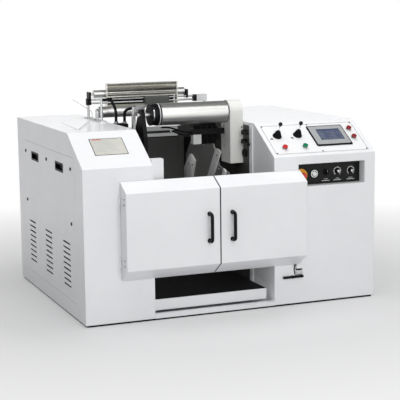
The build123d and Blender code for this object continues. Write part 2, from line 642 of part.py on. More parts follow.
# Beam lift table with its guide columns and cylinder
table = block(TABLE_LEFT, TABLE_RIGHT, TABLE_FRONT, TABLE_BACK, TABLE_LOW, TABLE_TOP)
table -= block(TABLE_LEFT + TABLE_T, TABLE_RIGHT - TABLE_T, TABLE_FRONT + TABLE_T, TABLE_BACK - TABLE_T,
               TABLE_LOW - 1, TABLE_TOP - TABLE_T)
for x in COLUMN_X:
    arm_plate = block(x - BUSH_RADIUS / 2, x + BUSH_RADIUS / 2, TABLE_BACK, COLUMN_Y,
                      TABLE_TOP - BUSH_HEIGHT / 2, TABLE_TOP)
    bush = bar_z(x, COLUMN_Y, TABLE_TOP - BUSH_HEIGHT / 2, TABLE_TOP + BUSH_HEIGHT / 2, BUSH_RADIUS)
    table += arm_plate + bush
    table -= bar_z(x, COLUMN_Y, 0, COLUMN_TOP, COLUMN_RADIUS + FIT)
mast = block(CYLINDER_X - CROSSHEAD_WIDTH / 2, CYLINDER_X + CROSSHEAD_WIDTH / 2, TABLE_BACK,
             TABLE_BACK + TABLE_T, TABLE_LOW, CROSSHEAD_TOP)
crosshead = block(CYLINDER_X - CROSSHEAD_WIDTH / 2, CYLINDER_X + CROSSHEAD_WIDTH / 2, TABLE_BACK,
                  COLUMN_Y + CYLINDER_RADIUS, CROSSHEAD_TOP - CROSSHEAD_T, CROSSHEAD_TOP)
lift_rod = bar_z(CYLINDER_X, COLUMN_Y, FOOT_HEIGHT + WALL, CROSSHEAD_TOP - CROSSHEAD_T, LIFT_ROD)
write_node("lift_table", table + mast + crosshead + lift_rod)
write_node("lift_mat", block(TABLE_LEFT + MAT_INSET, TABLE_RIGHT - MAT_INSET, TABLE_FRONT + MAT_INSET,
                             TABLE_BACK - MAT_INSET, TABLE_TOP, TABLE_TOP + MAT_T))


def lift_column(x):
    """A round guide column on a flange on the bay floor."""
    return bar_z(x, COLUMN_Y, FLOOR_T, COLUMN_TOP, COLUMN_RADIUS) + bar_z(x, COLUMN_Y, FLOOR_T,
                                                                         FLOOR_T + FOOT_HEIGHT, BUSH_RADIUS)


barrel = bar_z(CYLINDER_X, COLUMN_Y, FLOOR_T, CYLINDER_TOP, CYLINDER_RADIUS)
barrel += bar_z(CYLINDER_X, COLUMN_Y, FLOOR_T, FLOOR_T + FOOT_HEIGHT, CYLINDER_RADIUS * 1.4)
barrel -= bar_z(CYLINDER_X, COLUMN_Y, FOOT_HEIGHT, CYLINDER_TOP + 1, LIFT_ROD + FIT)
write_node("lift_guides", *[lift_column(x) for x in COLUMN_X], barrel)

# Headstock: plate, links, bearing, spindle, belt drive and motor
HEAD_BACK_X = HEAD_PLATE_X + HEAD_PLATE_T
head_plate = side_plate(HEAD_PLATE_PROFILE, HEAD_PLATE_X, HEAD_BACK_X)
head_plate -= bar_x(HEAD_PLATE_X - 1, HEAD_BACK_X + 1, BEAM_Y, BEAM_Z, SPINDLE_RADIUS + 4)
STRETCHERS = ((1080, 960), (1150, 500), (1150, 120))
stretchers = [bar_x(HEAD_BACK_X, WALL_FACE, y, z, LIFT_ROD) for y, z in STRETCHERS]
for stretcher in stretchers:
    head_plate += stretcher


def slanted_link(low, high, width):
    """A flat link on the headstock plate between two round ends."""
    dy = high[0] - low[0]
    dz = high[1] - low[1]
    length = math.hypot(dy, dz)
    slot = extrude(SlotCenterToCenter(length, width), amount=LINK_T)
    angle = math.degrees(math.atan2(dz, dy))
    frame = Plane(origin=(HEAD_PLATE_X, (low[0] + high[0]) / 2, (low[1] + high[1]) / 2),
                  x_dir=(0, 1, 0), z_dir=(-1, 0, 0))
    return frame.location * Rot(0, 0, -angle) * slot


write_node("headstock_plate", head_plate, *[slanted_link(*line) for line in LINK_LINES])

spindle_housing = bar_x(HEAD_BACK_X, HOUSING_END, BEAM_Y, BEAM_Z, HOUSING_RADIUS)
spindle_housing += bar_x(HEAD_BACK_X, HEAD_BACK_X + HEAD_PLATE_T, BEAM_Y, BEAM_Z, CHUCK_RADIUS)
spindle_housing -= bar_x(HEAD_BACK_X - 1, HOUSING_END + 1, BEAM_Y, BEAM_Z, SPINDLE_RADIUS + FIT)

arm_plate = block(WALL_FACE - BOSS_T, WALL_FACE, ROLLER_Y - BLOCK_SIZE / 2, ROLLER_Y + BLOCK_SIZE / 2,
                  COVER_LOW + 2 * COVER_T, BOSS_TOP)
arm_plate += block(WALL_FACE - BOSS_T - BLOCK_PLATE_T, WALL_FACE - BOSS_T, ROLLER_Y - BLOCK_SIZE / 2,
                   ROLLER_Y + BLOCK_SIZE / 2, COVER_LOW + 2 * COVER_T, ROLLER_Z + BLOCK_SIZE / 2)
roller_bearing = block(BLOCK_LEFT, WALL_FACE - BOSS_T - BLOCK_PLATE_T, ROLLER_Y - BLOCK_SIZE / 2,
                       ROLLER_Y + BLOCK_SIZE / 2, ROLLER_Z - BLOCK_SIZE / 2, ROLLER_Z + BLOCK_SIZE / 2)
roller_bearing = arm_plate + roller_bearing
roller_bearing -= bar_x(BLOCK_LEFT - 1, JOURNAL_END + FIT, ROLLER_Y, ROLLER_Z, JOURNAL + FIT)
write_node("bearing_housings", spindle_housing, roller_bearing)

head_spindle = bar_x(CHUCK_FACE_X, CHUCK_FACE_X + CHUCK_T, BEAM_Y, BEAM_Z, CHUCK_RADIUS)
head_spindle += bar_x(CHUCK_FACE_X, SPINDLE_END, BEAM_Y, BEAM_Z, SPINDLE_RADIUS)


def centre_cone(x, sign):
    """The cone that enters the beam's bore."""
    outline = [(0, 0), (CENTRE_RADIUS, 0), (CENTRE_RADIUS * 0.35, CENTRE_LENGTH), (0, CENTRE_LENGTH)]
    cone = revolve(make_face(Polyline([(r, 0, h) for r, h in outline], close=True)), Axis.Z)
    return Pos(x, BEAM_Y, BEAM_Z) * Rot(0, 90 * sign, 0) * cone


head_spindle += centre_cone(CHUCK_FACE_X, -1)
for turn in range(3):
    angle = math.radians(120 * turn + 90)
    head_spindle += bar_x(CHUCK_FACE_X - DRIVE_PIN_LENGTH, CHUCK_FACE_X,
                          BEAM_Y + DRIVE_PIN_CIRCLE * math.cos(angle),
                          BEAM_Z + DRIVE_PIN_CIRCLE * math.sin(angle), DRIVE_PIN_RADIUS)


def grooved_pulley(y, z, radius, bore):
    """A belt pulley with a flange each side of its crown."""
    wheel = bar_x(PULLEY_X, PULLEY_X + PULLEY_WIDTH, y, z, radius)
    for x in (PULLEY_X - 3, PULLEY_X + PULLEY_WIDTH):
        wheel += bar_x(x, x + 3, y, z, radius + 2 * BELT_T)
    return wheel - bar_x(PULLEY_X - 4, PULLEY_X + PULLEY_WIDTH + 4, y, z, bore)


head_spindle += grooved_pulley(BEAM_Y, BEAM_Z, PULLEY_RADIUS, SPINDLE_RADIUS - 1)
write_node("head_spindle", head_spindle)

motor_shaft = bar_x(PULLEY_X - 6, PULLEY_X + PULLEY_WIDTH + 26, MOTOR_Y, MOTOR_Z, MOTOR_SHAFT)
pulley = grooved_pulley(MOTOR_Y, MOTOR_Z, MOTOR_PULLEY_RADIUS, MOTOR_SHAFT - 1)
write_node("motor_pulley", pulley + motor_shaft)

MOTOR_X = PULLEY_X + PULLEY_WIDTH + 12
motor = bar_x(MOTOR_X, MOTOR_X + MOTOR_LENGTH, MOTOR_Y, MOTOR_Z, MOTOR_RADIUS)
motor -= bar_x(MOTOR_X - 1, MOTOR_X + 40, MOTOR_Y, MOTOR_Z, MOTOR_SHAFT + FIT)
motor += block(MOTOR_X + 60, MOTOR_X + 260, MOTOR_Y - 90, MOTOR_Y + 90, WALL, MOTOR_Z - MOTOR_RADIUS + 20)
motor += block(MOTOR_X + 90, MOTOR_X + 200, MOTOR_Y - 50, MOTOR_Y + 50, MOTOR_Z + MOTOR_RADIUS - 20,
               MOTOR_Z + MOTOR_RADIUS + 40)
write_node("drive_motor", motor)


def belt_loop(grow):
    """The face between the outer tangents of the two pulleys, grown outwards."""
    big = (BEAM_Y, BEAM_Z, PULLEY_RADIUS + grow)
    small = (MOTOR_Y, MOTOR_Z, MOTOR_PULLEY_RADIUS + grow)
    span = math.hypot(small[0] - big[0], small[1] - big[1])
    heading = math.atan2(small[1] - big[1], small[0] - big[0])
    lean = math.acos((big[2] - small[2]) / span)
    points = []
    for circle, turns in ((big, (lean, -lean)), (small, (-lean, lean))):
        for turn in turns:
            points.append((circle[0] + circle[2] * math.cos(heading + turn),
                           circle[1] + circle[2] * math.sin(heading + turn)))
    start = PULLEY_X + HINGE_PLAY
    width = PULLEY_WIDTH - 2 * HINGE_PLAY
    web = extrude(side_face(points, start), amount=width, dir=(1, 0, 0))
    return (web + bar_x(start, start + width, big[0], big[1], big[2])
            + bar_x(start, start + width, small[0], small[1], small[2]))


write_node("drive_belt", belt_loop(BELT_CLEAR + BELT_T) - belt_loop(BELT_CLEAR))

# Tailstock on the left wall: housing, sliding quill and free-turning chuck
tail_housing = bar_x(LEFT_WIDTH, TAIL_HOUSING_END, BEAM_Y, BEAM_Z, TAIL_HOUSING_RADIUS)
tail_housing += bar_x(LEFT_WIDTH, LEFT_WIDTH + TAIL_FLANGE_T, BEAM_Y, BEAM_Z, TAIL_FLANGE_RADIUS)
tail_housing -= bar_x(LEFT_WIDTH + WALL, TAIL_HOUSING_END + 1, BEAM_Y, BEAM_Z, QUILL_RADIUS + FIT)
write_node("tailstock_housing", tail_housing)

TAIL_PIN = 16.0
quill = bar_x(QUILL_START, QUILL_END, BEAM_Y, BEAM_Z, QUILL_RADIUS)
quill += bar_x(QUILL_END, QUILL_END + 14, BEAM_Y, BEAM_Z, TAIL_PIN)
write_node("tail_quill", quill)

tail_chuck = bar_x(QUILL_END + HINGE_PLAY, TAIL_CHUCK_END, BEAM_Y, BEAM_Z, CHUCK_RADIUS)
tail_chuck += centre_cone(TAIL_CHUCK_END, 1)
tail_chuck -= bar_x(QUILL_END, QUILL_END + 14 + HINGE_PLAY, BEAM_Y, BEAM_Z, TAIL_PIN + FIT)
write_node("tail_chuck", tail_chuck)

# Measuring roller: chrome tube with its journals, and the stack of discs on its left end
roller = bar_x(ROLLER_START, ROLLER_END, ROLLER_Y, ROLLER_Z, ROLLER_RADIUS)
roller -= bar_x(ROLLER_START + ROLLER_WALL, ROLLER_END - ROLLER_WALL, ROLLER_Y, ROLLER_Z,
                ROLLER_RADIUS - ROLLER_WALL)
roller += bar_x(JOURNAL_START, JOURNAL_END, ROLLER_Y, ROLLER_Z, JOURNAL)
write_node("measuring_roller", roller)

roller_discs = None
for x0, x1, radius in HUB_STEPS:
    disc = bar_x(x0, x1, ROLLER_Y, ROLLER_Z, radius)
    roller_discs = disc if roller_discs is None else roller_discs + disc
roller_discs -= bar_x(HUB_STEPS[0][0] - 1, ROLLER_START + 1, ROLLER_Y, ROLLER_Z, JOURNAL)
write_node("roller_discs", roller_discs)

# Left arm: a cast plate with an eye for the roller, on a foot on the left wall
arm_profile = ((ARM_FRONT, ARM_LOW), (ARM_FRONT, ARM_SHOULDER - 40), (ROLLER_Y - ARM_EYE, ROLLER_Z),
               (ROLLER_Y + ARM_EYE, ROLLER_Z), (ARM_BACK - 60, ARM_SHOULDER), (ARM_BACK, ARM_SHOULDER - 20),
               (ARM_BACK, ARM_LOW + 160), (ARM_BACK - 60, ARM_LOW))
left_arm = side_plate(arm_profile, ARM_X, ARM_X + ARM_T)
left_arm += bar_x(ARM_X, ARM_X + ARM_T, ROLLER_Y, ROLLER_Z, ARM_EYE)
left_arm += block(LEFT_WIDTH, ARM_X, *ARM_FOOT)
left_arm -= bar_x(LEFT_WIDTH + 40, ARM_X + ARM_T + 1, ROLLER_Y, ROLLER_Z, JOURNAL + FIT)
write_node("left_arm", left_arm)

# Right arm cover: a tall folded cover with a round top, open towards the wall
COVER_RADIUS = (BLOCK_SIZE + ROLLER_RADIUS) / 2 - 4


def cover_form(margin, x0, x1):
    """The cover's outline, shrunk by margin, from x0 to x1."""
    radius = COVER_RADIUS - margin
    middle = COVER_FRONT + COVER_RADIUS
    body = block(x0, x1, middle - radius, middle + radius, COVER_LOW + margin, ROLLER_Z)
    return body + bar_x(x0, x1, middle, ROLLER_Z, radius)


arm_cover = cover_form(0, COVER_LEFT, WALL_FACE)
arm_cover -= cover_form(COVER_T, COVER_LEFT + COVER_T, WALL_FACE + 1)
arm_cover -= bar_x(COVER_LEFT - 1, COVER_LEFT + 2 * COVER_T, ROLLER_Y, ROLLER_Z, JOURNAL + 4)
arm_cover -= Pos(COVER_LEFT, COVER_FRONT + 26, COVER_LOW + 62) * Rot(0, 90, 0) * extrude(
    SlotOverall(34, 13), amount=2 * COVER_T, both=True)
for z in COVER_SCREWS:
    arm_cover += bar_y(COVER_SCREW_X, COVER_FRONT - SCREW_T, COVER_FRONT, z, SCREW_HEAD + 1)
write_node("right_arm_cover", arm_cover)

# Brake cylinder behind the left arm, with its valve block
brake = block(*BRAKE_X, ARM_BACK, ARM_BACK + BRAKE_DEPTH, BRAKE_LOW, BRAKE_TOP)
brake = fillet(brake.edges().filter_by(Axis.Z), BEND)
brake_middle = (BRAKE_X[0] + BRAKE_X[1]) / 2
brake_y = ARM_BACK + BRAKE_DEPTH / 2
brake += bar_z(brake_middle, brake_y, BRAKE_TOP, BRAKE_BLOCK[3] - 8, BRAKE_STEM)
brake += bar_x(brake_middle, BRAKE_BLOCK[0], brake_y, (BRAKE_BLOCK[2] + BRAKE_BLOCK[3]) / 2, BRAKE_STEM)
brake_back = brake_y + BRAKE_BLOCK_DEPTH / 2
brake += block(BRAKE_BLOCK[0], BRAKE_BLOCK[1], brake_y - BRAKE_BLOCK_DEPTH / 2, brake_back,
               BRAKE_BLOCK[2], BRAKE_BLOCK[3])
write_node("brake_cylinder", brake)


def hose(points, radii):
    """A hose of straight runs and tangent arcs."""
    path = FilletPolyline(*points, radius=radii)
    start = Vector(*points[0])
    heading = Vector(*points[1]) - start
    return sweep(Plane(origin=start, z_dir=heading) * Circle(HOSE_RADIUS), path=path)


manifold = block(*MANIFOLD)
manifold = fillet(manifold.edges().filter_by(Axis.Z), BEND)
manifold += block(LEFT_WIDTH, MANIFOLD[0], MANIFOLD[2] + 20, MANIFOLD[3] - 20, MANIFOLD[4] + 5,
                  MANIFOLD[4] + 35)
POST_X = STAND_LEFT + STAND_WIDTH / 2
port = FRONT_POST_TOP - 13
tall_hose = hose(((512, 862, MANIFOLD[5]), (512, 862, MANIFOLD[5] + 98), (500, 940, port + 10),
                  (POST_X + 34, FRONT_POST_Y, port), (POST_X + STAND_POST + HINGE_PLAY, FRONT_POST_Y, port)),
                 (80, 22, 20))
inlet = BRAKE_BLOCK[2] + 20
short_hose = hose(((566, 838, MANIFOLD[5]), (566, 838, MANIFOLD[5] + 96),
                   (BRAKE_BLOCK[0] + 14, brake_back + 42, inlet), (BRAKE_BLOCK[0] + 14, brake_back, inlet)),
                  (40, 24))
write_node("air_hoses", manifold, tall_hose, short_hose)

# Yarn monitor on a short arm from the cover
monitor = block(*MONITOR_BAR) + block(*MONITOR_BOX)
monitor_y = (MONITOR_BAR[2] + MONITOR_BAR[3]) / 2
for x in (1090.0, 1130.0, 1170.0):
    monitor += bar_z(x, monitor_y, MONITOR_BAR[4] - 24, MONITOR_BAR[5] + 12, STUD_RADIUS)
write_node("yarn_monitor", monitor)

# Stands for the reed and the guide rollers, one on each cabinet
MIRROR_X = 2 * BAY_MIDDLE


def reed_stand(sign):
    """A base plate with two posts and a lug for the lower roller, on the left or the right."""
    def at(x):
        return x if sign < 0 else MIRROR_X - x

    def slab(x0, x1, *rest):
        return block(min(at(x0), at(x1)), max(at(x0), at(x1)), *rest)

    stand = slab(STAND_LEFT, STAND_LEFT + STAND_WIDTH, STAND_FRONT, STAND_BACK, TOP_HEIGHT,
                 TOP_HEIGHT + STAND_T)
    post_top = FRONT_POST_TOP if sign < 0 else SHORT_POST_TOP
    stand += bar_z(at(POST_X), FRONT_POST_Y, TOP_HEIGHT, post_top, STAND_POST)
    stand += bar_z(at(POST_X), REAR_POST_Y, TOP_HEIGHT, END_BLOCK_Z[0] + 2, STAND_POST)
    lug_x = LOWER_ROLLER[0] - LUG_GAP - LUG_T
    lug = slab(lug_x, lug_x + LUG_T, LOWER_ROLLER_Y - 24, LOWER_ROLLER_Y + 24, TOP_HEIGHT + STAND_T,
               LOWER_ROLLER_Z)
    lug += bar_x(min(at(lug_x), at(lug_x + LUG_T)), max(at(lug_x), at(lug_x + LUG_T)), LOWER_ROLLER_Y,
                 LOWER_ROLLER_Z, 24)
    stand += lug
    return stand - bar_x(min(at(lug_x - 1), at(lug_x + LUG_T + 1)), max(at(lug_x - 1), at(lug_x + LUG_T + 1)),
                         LOWER_ROLLER_Y, LOWER_ROLLER_Z, GUIDE_JOURNAL + FIT)


right_stand = reed_stand(1)
right_stand += block(END_BLOCK[1], MIRROR_X - POST_X + STAND_POST, ROD_Y - 20, ROD_Y + 28, *END_BLOCK_Z)
write_node("reed_stands", reed_stand(-1), right_stand)

# Guide rods with their end blocks, and the bearings of the upper roller
rods = [bar_x(POST_X, END_BLOCK[1], ROD_Y, z, ROD_RADIUS) for z in ROD_HEIGHTS]


def bent_wire(points, radius):
    """A yarn guide bent from round wire."""
    path = FilletPolyline(*points, radius=radius)
    start = Vector(*points[0])
    return sweep(Plane(origin=start, z_dir=Vector(*points[1]) - start) * Circle(WIRE_RADIUS), path=path)


top = TOP_HEIGHT + STAND_T
rear_wire = bent_wire(((442, 1200, top), (442, 1200, top + 40), (430, 1200, top + 56),
                       (299, 1200, top + 139)), 8)
wire_z = top + WIRE_RADIUS
low_wire = bent_wire(((430, 1060, wire_z), (370, 1019, wire_z), (98, 395, wire_z),
                      (92, 450, top + 2 * WIRE_RADIUS), (92, 790, top + 20)), 9)
write_node("guide_rods", *rods, rear_wire, low_wire)

left_block = block(POST_X - 14, POST_X + 16, ROD_Y - 16, ROD_Y + 22, END_BLOCK_Z[0] + 2, END_BLOCK_Z[1])
left_block += block(POST_X + 2, POST_X + 16, ROD_Y - 16, UPPER_ROLLER_Y + 14, END_BLOCK_Z[0] + 2,
                    UPPER_ROLLER_Z + 18)
right_block = block(*END_BLOCK, ROD_Y - 20, ROD_Y + 22, *END_BLOCK_Z)
far_x = UPPER_ROLLER[1] + LUG_GAP
far_bearing = block(far_x, far_x + LUG_T, ROD_Y - 12, UPPER_ROLLER_Y + 14,
                    ROD_HEIGHTS[0] - 12, UPPER_ROLLER_Z + 14)
rod_blocks = []
for piece in (left_block, right_block, far_bearing):
    for z in ROD_HEIGHTS:
        piece -= bar_x(POST_X - 2, END_BLOCK[1] + 1, ROD_Y, z, ROD_RADIUS)
    piece -= bar_x(POST_X + 6, UPPER_ROLLER[1] + 40, UPPER_ROLLER_Y, UPPER_ROLLER_Z, GUIDE_JOURNAL + FIT)
    rod_blocks.append(piece)
write_node("rod_blocks", *rod_blocks)

# The reed: profile plate with its cheeks and sill, the comb, and the carriage that moves them
plate_profile = [(REED_FRONT, REED_LOW), (REED_FRONT, REED_LOW + 7), (REED_FRONT + 4, REED_LOW + 9),
                 (REED_FRONT + 4, REED_LOW + 15), (REED_FRONT, REED_LOW + 17), (REED_FRONT, REED_LOW + 27),
                 (REED_FRONT + 4, REED_LOW + 29), (REED_FRONT + 4, REED_LOW + 35),
                 (REED_FRONT, REED_LOW + 37), (REED_FRONT, REED_TOP - 20), (REED_FRONT + 16, REED_TOP),
                 (REED_FRONT + 16 + REED_T / 3, REED_TOP),
                 (REED_FRONT + REED_T, REED_TOP - 24), (REED_FRONT + REED_T, REED_LOW)]
reed_plate = side_plate(plate_profile, REED_LEFT, REED_RIGHT)
cheek_profile = [(REED_FRONT - 10, REED_SILL[0]), (REED_FRONT - 10, REED_TOP), (REED_FRONT + 20, REED_TOP),
                 (REED_FRONT + 20, REED_LOW), (REED_FRONT + 38, REED_LOW - 8),
                 (REED_FRONT + 38, REED_SILL[0])]
for x0 in (REED_LEFT - REED_CHEEK_T, REED_RIGHT):
    reed_plate += side_plate(cheek_profile, x0, x0 + REED_CHEEK_T)
reed_plate += block(REED_LEFT, REED_RIGHT, REED_FRONT - 8, REED_FRONT, *REED_SILL)
carriage_space = block(CARRIAGE[0], CARRIAGE[1], CARRIAGE_FRONT - 1, REED_FRONT + 1, REED_SILL[0] - 1,
                       REED_SILL[1] + 1)
for z in ROD_HEIGHTS:
    reed_plate -= bar_x(REED_LEFT - 20, REED_RIGHT + 20, ROD_Y, z, ROD_RADIUS + FIT)
reed_plate -= carriage_space
write_node("reed_plate", reed_plate)

carriage = block(*CARRIAGE, CARRIAGE_FRONT, ROD_Y + 14, *CARRIAGE_Z)
carriage = chamfer(carriage.edges().filter_by(Axis.X), 3)
carriage += block(CARRIAGE[0], CARRIAGE[1], REED_FRONT, REED_FRONT + REED_T, CARRIAGE_Z[1] - 1, REED_LOW)
for z in ROD_HEIGHTS:
    carriage -= bar_x(CARRIAGE[0] - 1, CARRIAGE[1] + 1, ROD_Y, z, ROD_RADIUS + FIT)
write_node("reed_carriage", carriage)

comb_span = (REED_LEFT - REED_CHEEK_T, REED_RIGHT + REED_CHEEK_T, REED_FRONT + 38, REED_FRONT + 38 + COMB_BAR)
comb = block(*comb_span, REED_SILL[0], REED_SILL[0] + COMB_BAR)
comb += block(*comb_span, COMB_LOW, COMB_LOW + COMB_BAR)
blades = int((REED_RIGHT - REED_LEFT + 2 * REED_CHEEK_T) / COMB_PITCH) + 1
for i in range(blades):
    x = REED_LEFT - REED_CHEEK_T + i * COMB_PITCH
    comb += block(x, x + COMB_BLADE_T, REED_FRONT + 40, REED_FRONT + 36 + COMB_BAR, COMB_LOW + COMB_BAR - 1,
                  REED_SILL[0] + 1)
write_node("reed_comb", comb)


def guide_roller(span, y, z, radius):
    """A roller tube with softened rims and a journal at each end."""
    body = bar_x(*span, y, z, radius)
    body = chamfer(body.edges().filter_by(GeomType.CIRCLE), 2)
    return body + bar_x(span[0] - LUG_GAP - LUG_T + 1, span[1] + LUG_GAP + LUG_T - 1, y, z, GUIDE_JOURNAL)


write_node("upper_roller", guide_roller(UPPER_ROLLER, UPPER_ROLLER_Y, UPPER_ROLLER_Z, UPPER_ROLLER_RADIUS))
write_node("lower_roller", guide_roller(LOWER_ROLLER, LOWER_ROLLER_Y, LOWER_ROLLER_Z, LOWER_ROLLER_RADIUS))

# Console: plate, screen, buttons and joysticks
console = slope_slab(*CONSOLE, 0, CONSOLE_T, CONSOLE_CORNER)
for x, s in BUTTONS.values():
    console -= on_slope(x, s, 0) * Cylinder(CAP_STEM + 1, 6 * CONSOLE_T)
for x, s in JOYSTICKS:
    console += on_slope(x, s, -SOCKET_DEPTH / 2) * Cylinder(STICK_SWING, SOCKET_DEPTH)
    console -= on_slope(x, s, 0) * Cylinder(STICK_BALL + HINGE_PLAY, 3 * SOCKET_DEPTH)
write_node("console_plate", console)

screen_frame = slope_slab(*SCREEN, CONSOLE_T, CONSOLE_T + SCREEN_T, SCREEN_CORNER, SCREEN_BEVEL)
screen_frame -= slope_slab(*GLASS, CONSOLE_T + SCREEN_T - 3, CONSOLE_T + SCREEN_T + 1)
write_node("screen_frame", screen_frame)
write_node("screen_glass", slope_slab(*GLASS, CONSOLE_T + SCREEN_T - 3, CONSOLE_T + SCREEN_T - GLASS_SINK))

bezels = []
for name, (x, s) in BUTTONS.items():
    low = CONSOLE_T
    bezel = slope_turned((x, s), ((CAP_RADIUS + 0.3, low), (BEZEL_RADIUS, low),
                                  (BEZEL_RADIUS, low + BEZEL_T - 2),
                                  (BEZEL_RADIUS - 2, low + BEZEL_T), (CAP_RADIUS + 0.3, low + BEZEL_T)))
    bezels.append(bezel)
    cap = slope_turned((x, s), ((0, -8), (CAP_STEM, -8), (CAP_STEM, low + CAP_TRAVEL + 1),
                                (CAP_RADIUS, low + CAP_TRAVEL + 1), (CAP_RADIUS, CAP_TOP - 2),
                                (CAP_RADIUS - 2, CAP_TOP), (0, CAP_TOP)))
    write_node(name, cap)
write_node("button_bezels", *bezels)


def joystick_boot(place):
    """A folded rubber boot, widest at its foot, with a clear bore for the stick."""
    outline = [(STICK_SWING, CONSOLE_T), (BOOT_RADIUS, CONSOLE_T), (BOOT_RADIUS, CONSOLE_T + 5)]
    step = (BOOT_HEIGHT - 5) / BOOT_FOLDS
    fall = (BOOT_RADIUS - 3 - BOOT_TOP_RADIUS) / BOOT_FOLDS
    for i in range(BOOT_FOLDS):
        height = CONSOLE_T + 5 + i * step
        radius = BOOT_RADIUS - 3 - i * fall
        outline += [(radius, height + step * 0.55), (radius - 3.5, height + step)]
    outline += [(BOOT_TOP_RADIUS - 1, CONSOLE_T + BOOT_HEIGHT), (BOOT_MOUTH, CONSOLE_T + BOOT_HEIGHT)]
    return slope_turned(place, outline)


write_node("joystick_boots", *[joystick_boot(place) for place in JOYSTICKS])
for number, place in enumerate(JOYSTICKS, start=1):
    stick = on_slope(*place, BALL_HEIGHT / 2) * Cylinder(STICK_RADIUS, BALL_HEIGHT)
    stick += on_slope(*place, BALL_HEIGHT) * turned_ball(BALL_RADIUS)
    stick += on_slope(*place, 0) * turned_ball(STICK_BALL)
    write_node(f"joystick_{number}", stick)

# Recess with its instrument panel
recess = block(RECESS[0] - RECESS_T, RECESS[1] + RECESS_T, 0, RECESS_DEPTH + RECESS_T, RECESS[2] - RECESS_T,
               RECESS[3] + RECESS_T)
recess -= block(RECESS[0], RECESS[1], -1, RECESS_DEPTH, RECESS[2], RECESS[3])
instruments = (ESTOP, KEY, SELECTOR, *DIALS)
for x, z in instruments:
    recess -= bar_y(x, RECESS_DEPTH - 1, RECESS_DEPTH + 2 * RECESS_T, z, KNOB_STEM + 3)
write_node("recess_tray", recess)

FACE_Y = RECESS_DEPTH - PANEL_BLACK_T
panel = block(RECESS[0], RECESS[1], FACE_Y, RECESS_DEPTH, RECESS[2], RECESS[3])
panel += bar_y(KEY[0], FACE_Y - RING_T, FACE_Y, KEY[1], KEY_RING)
for x, z in instruments:
    panel -= bar_y(x, 0, RECESS_DEPTH + 1, z, KNOB_STEM + FIT)
panel -= bar_y(KEY[0], 0, FACE_Y, KEY[1], KEY_BARREL + 0.3)
write_node("instrument_panel", panel)


def turned_knob(x, z, radius, reach, lip):
    """A knob on a stem through the panel, with a raised pointer across its face."""
    knob = bar_y(x, FACE_Y - reach, FACE_Y - HINGE_PLAY, z, radius)
    knob = chamfer(knob.edges().filter_by(GeomType.CIRCLE).sort_by(Axis.Y)[0], lip)
    return knob + bar_y(x, FACE_Y - 1, RECESS_DEPTH + 2 * RECESS_T, z, KNOB_STEM)


key_barrel = turned_knob(*KEY, KEY_BARREL, 10.0, 2.0)
key_barrel -= block(KEY[0] - 1.5, KEY[0] + 1.5, FACE_Y - 11, FACE_Y - 6, KEY[1] - 8, KEY[1] + 8)
write_node("key_barrel", key_barrel)
selector = turned_knob(*SELECTOR, SELECTOR_RADIUS, 12.0, 1.5)
selector += block(SELECTOR[0] - 4, SELECTOR[0] + 4, FACE_Y - 26, FACE_Y - 11, SELECTOR[1] - SELECTOR_RADIUS,
                  SELECTOR[1] + SELECTOR_RADIUS)
write_node("selector_knob", selector)
for number, (x, z) in enumerate(DIALS, start=1):
    write_node(f"speed_knob_{number}", turned_knob(x, z, DIAL_KNOB, KNOB_REACH, 3.0))
estop = bar_y(ESTOP[0], FACE_Y - ESTOP_REACH, FACE_Y - ESTOP_REACH + 16, ESTOP[1], ESTOP_RADIUS)
estop = chamfer(estop.edges().filter_by(GeomType.CIRCLE), 4)
estop += bar_y(ESTOP[0], FACE_Y - ESTOP_REACH + 10, FACE_Y - 8, ESTOP[1], ESTOP_RADIUS * 0.6)
estop += bar_y(ESTOP[0], FACE_Y - 10, RECESS_DEPTH + 2 * RECESS_T, ESTOP[1], KNOB_STEM)
write_node("stop_button", estop)


def clamp_lever(y, z, reach, drop):
    """A hub with a hand lever that turns on a pin in the bay's wall."""
    hub = bar_x(WALL_FACE - LEVER_REACH, WALL_FACE - HINGE_PLAY, y, z, LEVER_HUB)
    lever_x = WALL_FACE - LEVER_REACH + LEVER_ARM
    tip = Vector(lever_x, y - reach, z + drop)
    root = Vector(lever_x, y, z)
    arm = Plane(origin=root, z_dir=tip - root).location * Pos(0, 0, (tip - root).length / 2) * Cylinder(
        LEVER_ARM, (tip - root).length)
    arm += Pos(tip.X, tip.Y, tip.Z) * turned_ball(LEVER_ARM * 1.5)
    return hub + arm + bar_x(WALL_FACE - 1, RIGHT_START + WALL, y, z, LEVER_PIN)


for name, y, z, reach, drop in LEVERS:
    write_node(name, clamp_lever(y, z, reach, drop))
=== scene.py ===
import json
import math

import bmesh
import bpy
from mathutils import Matrix, Vector

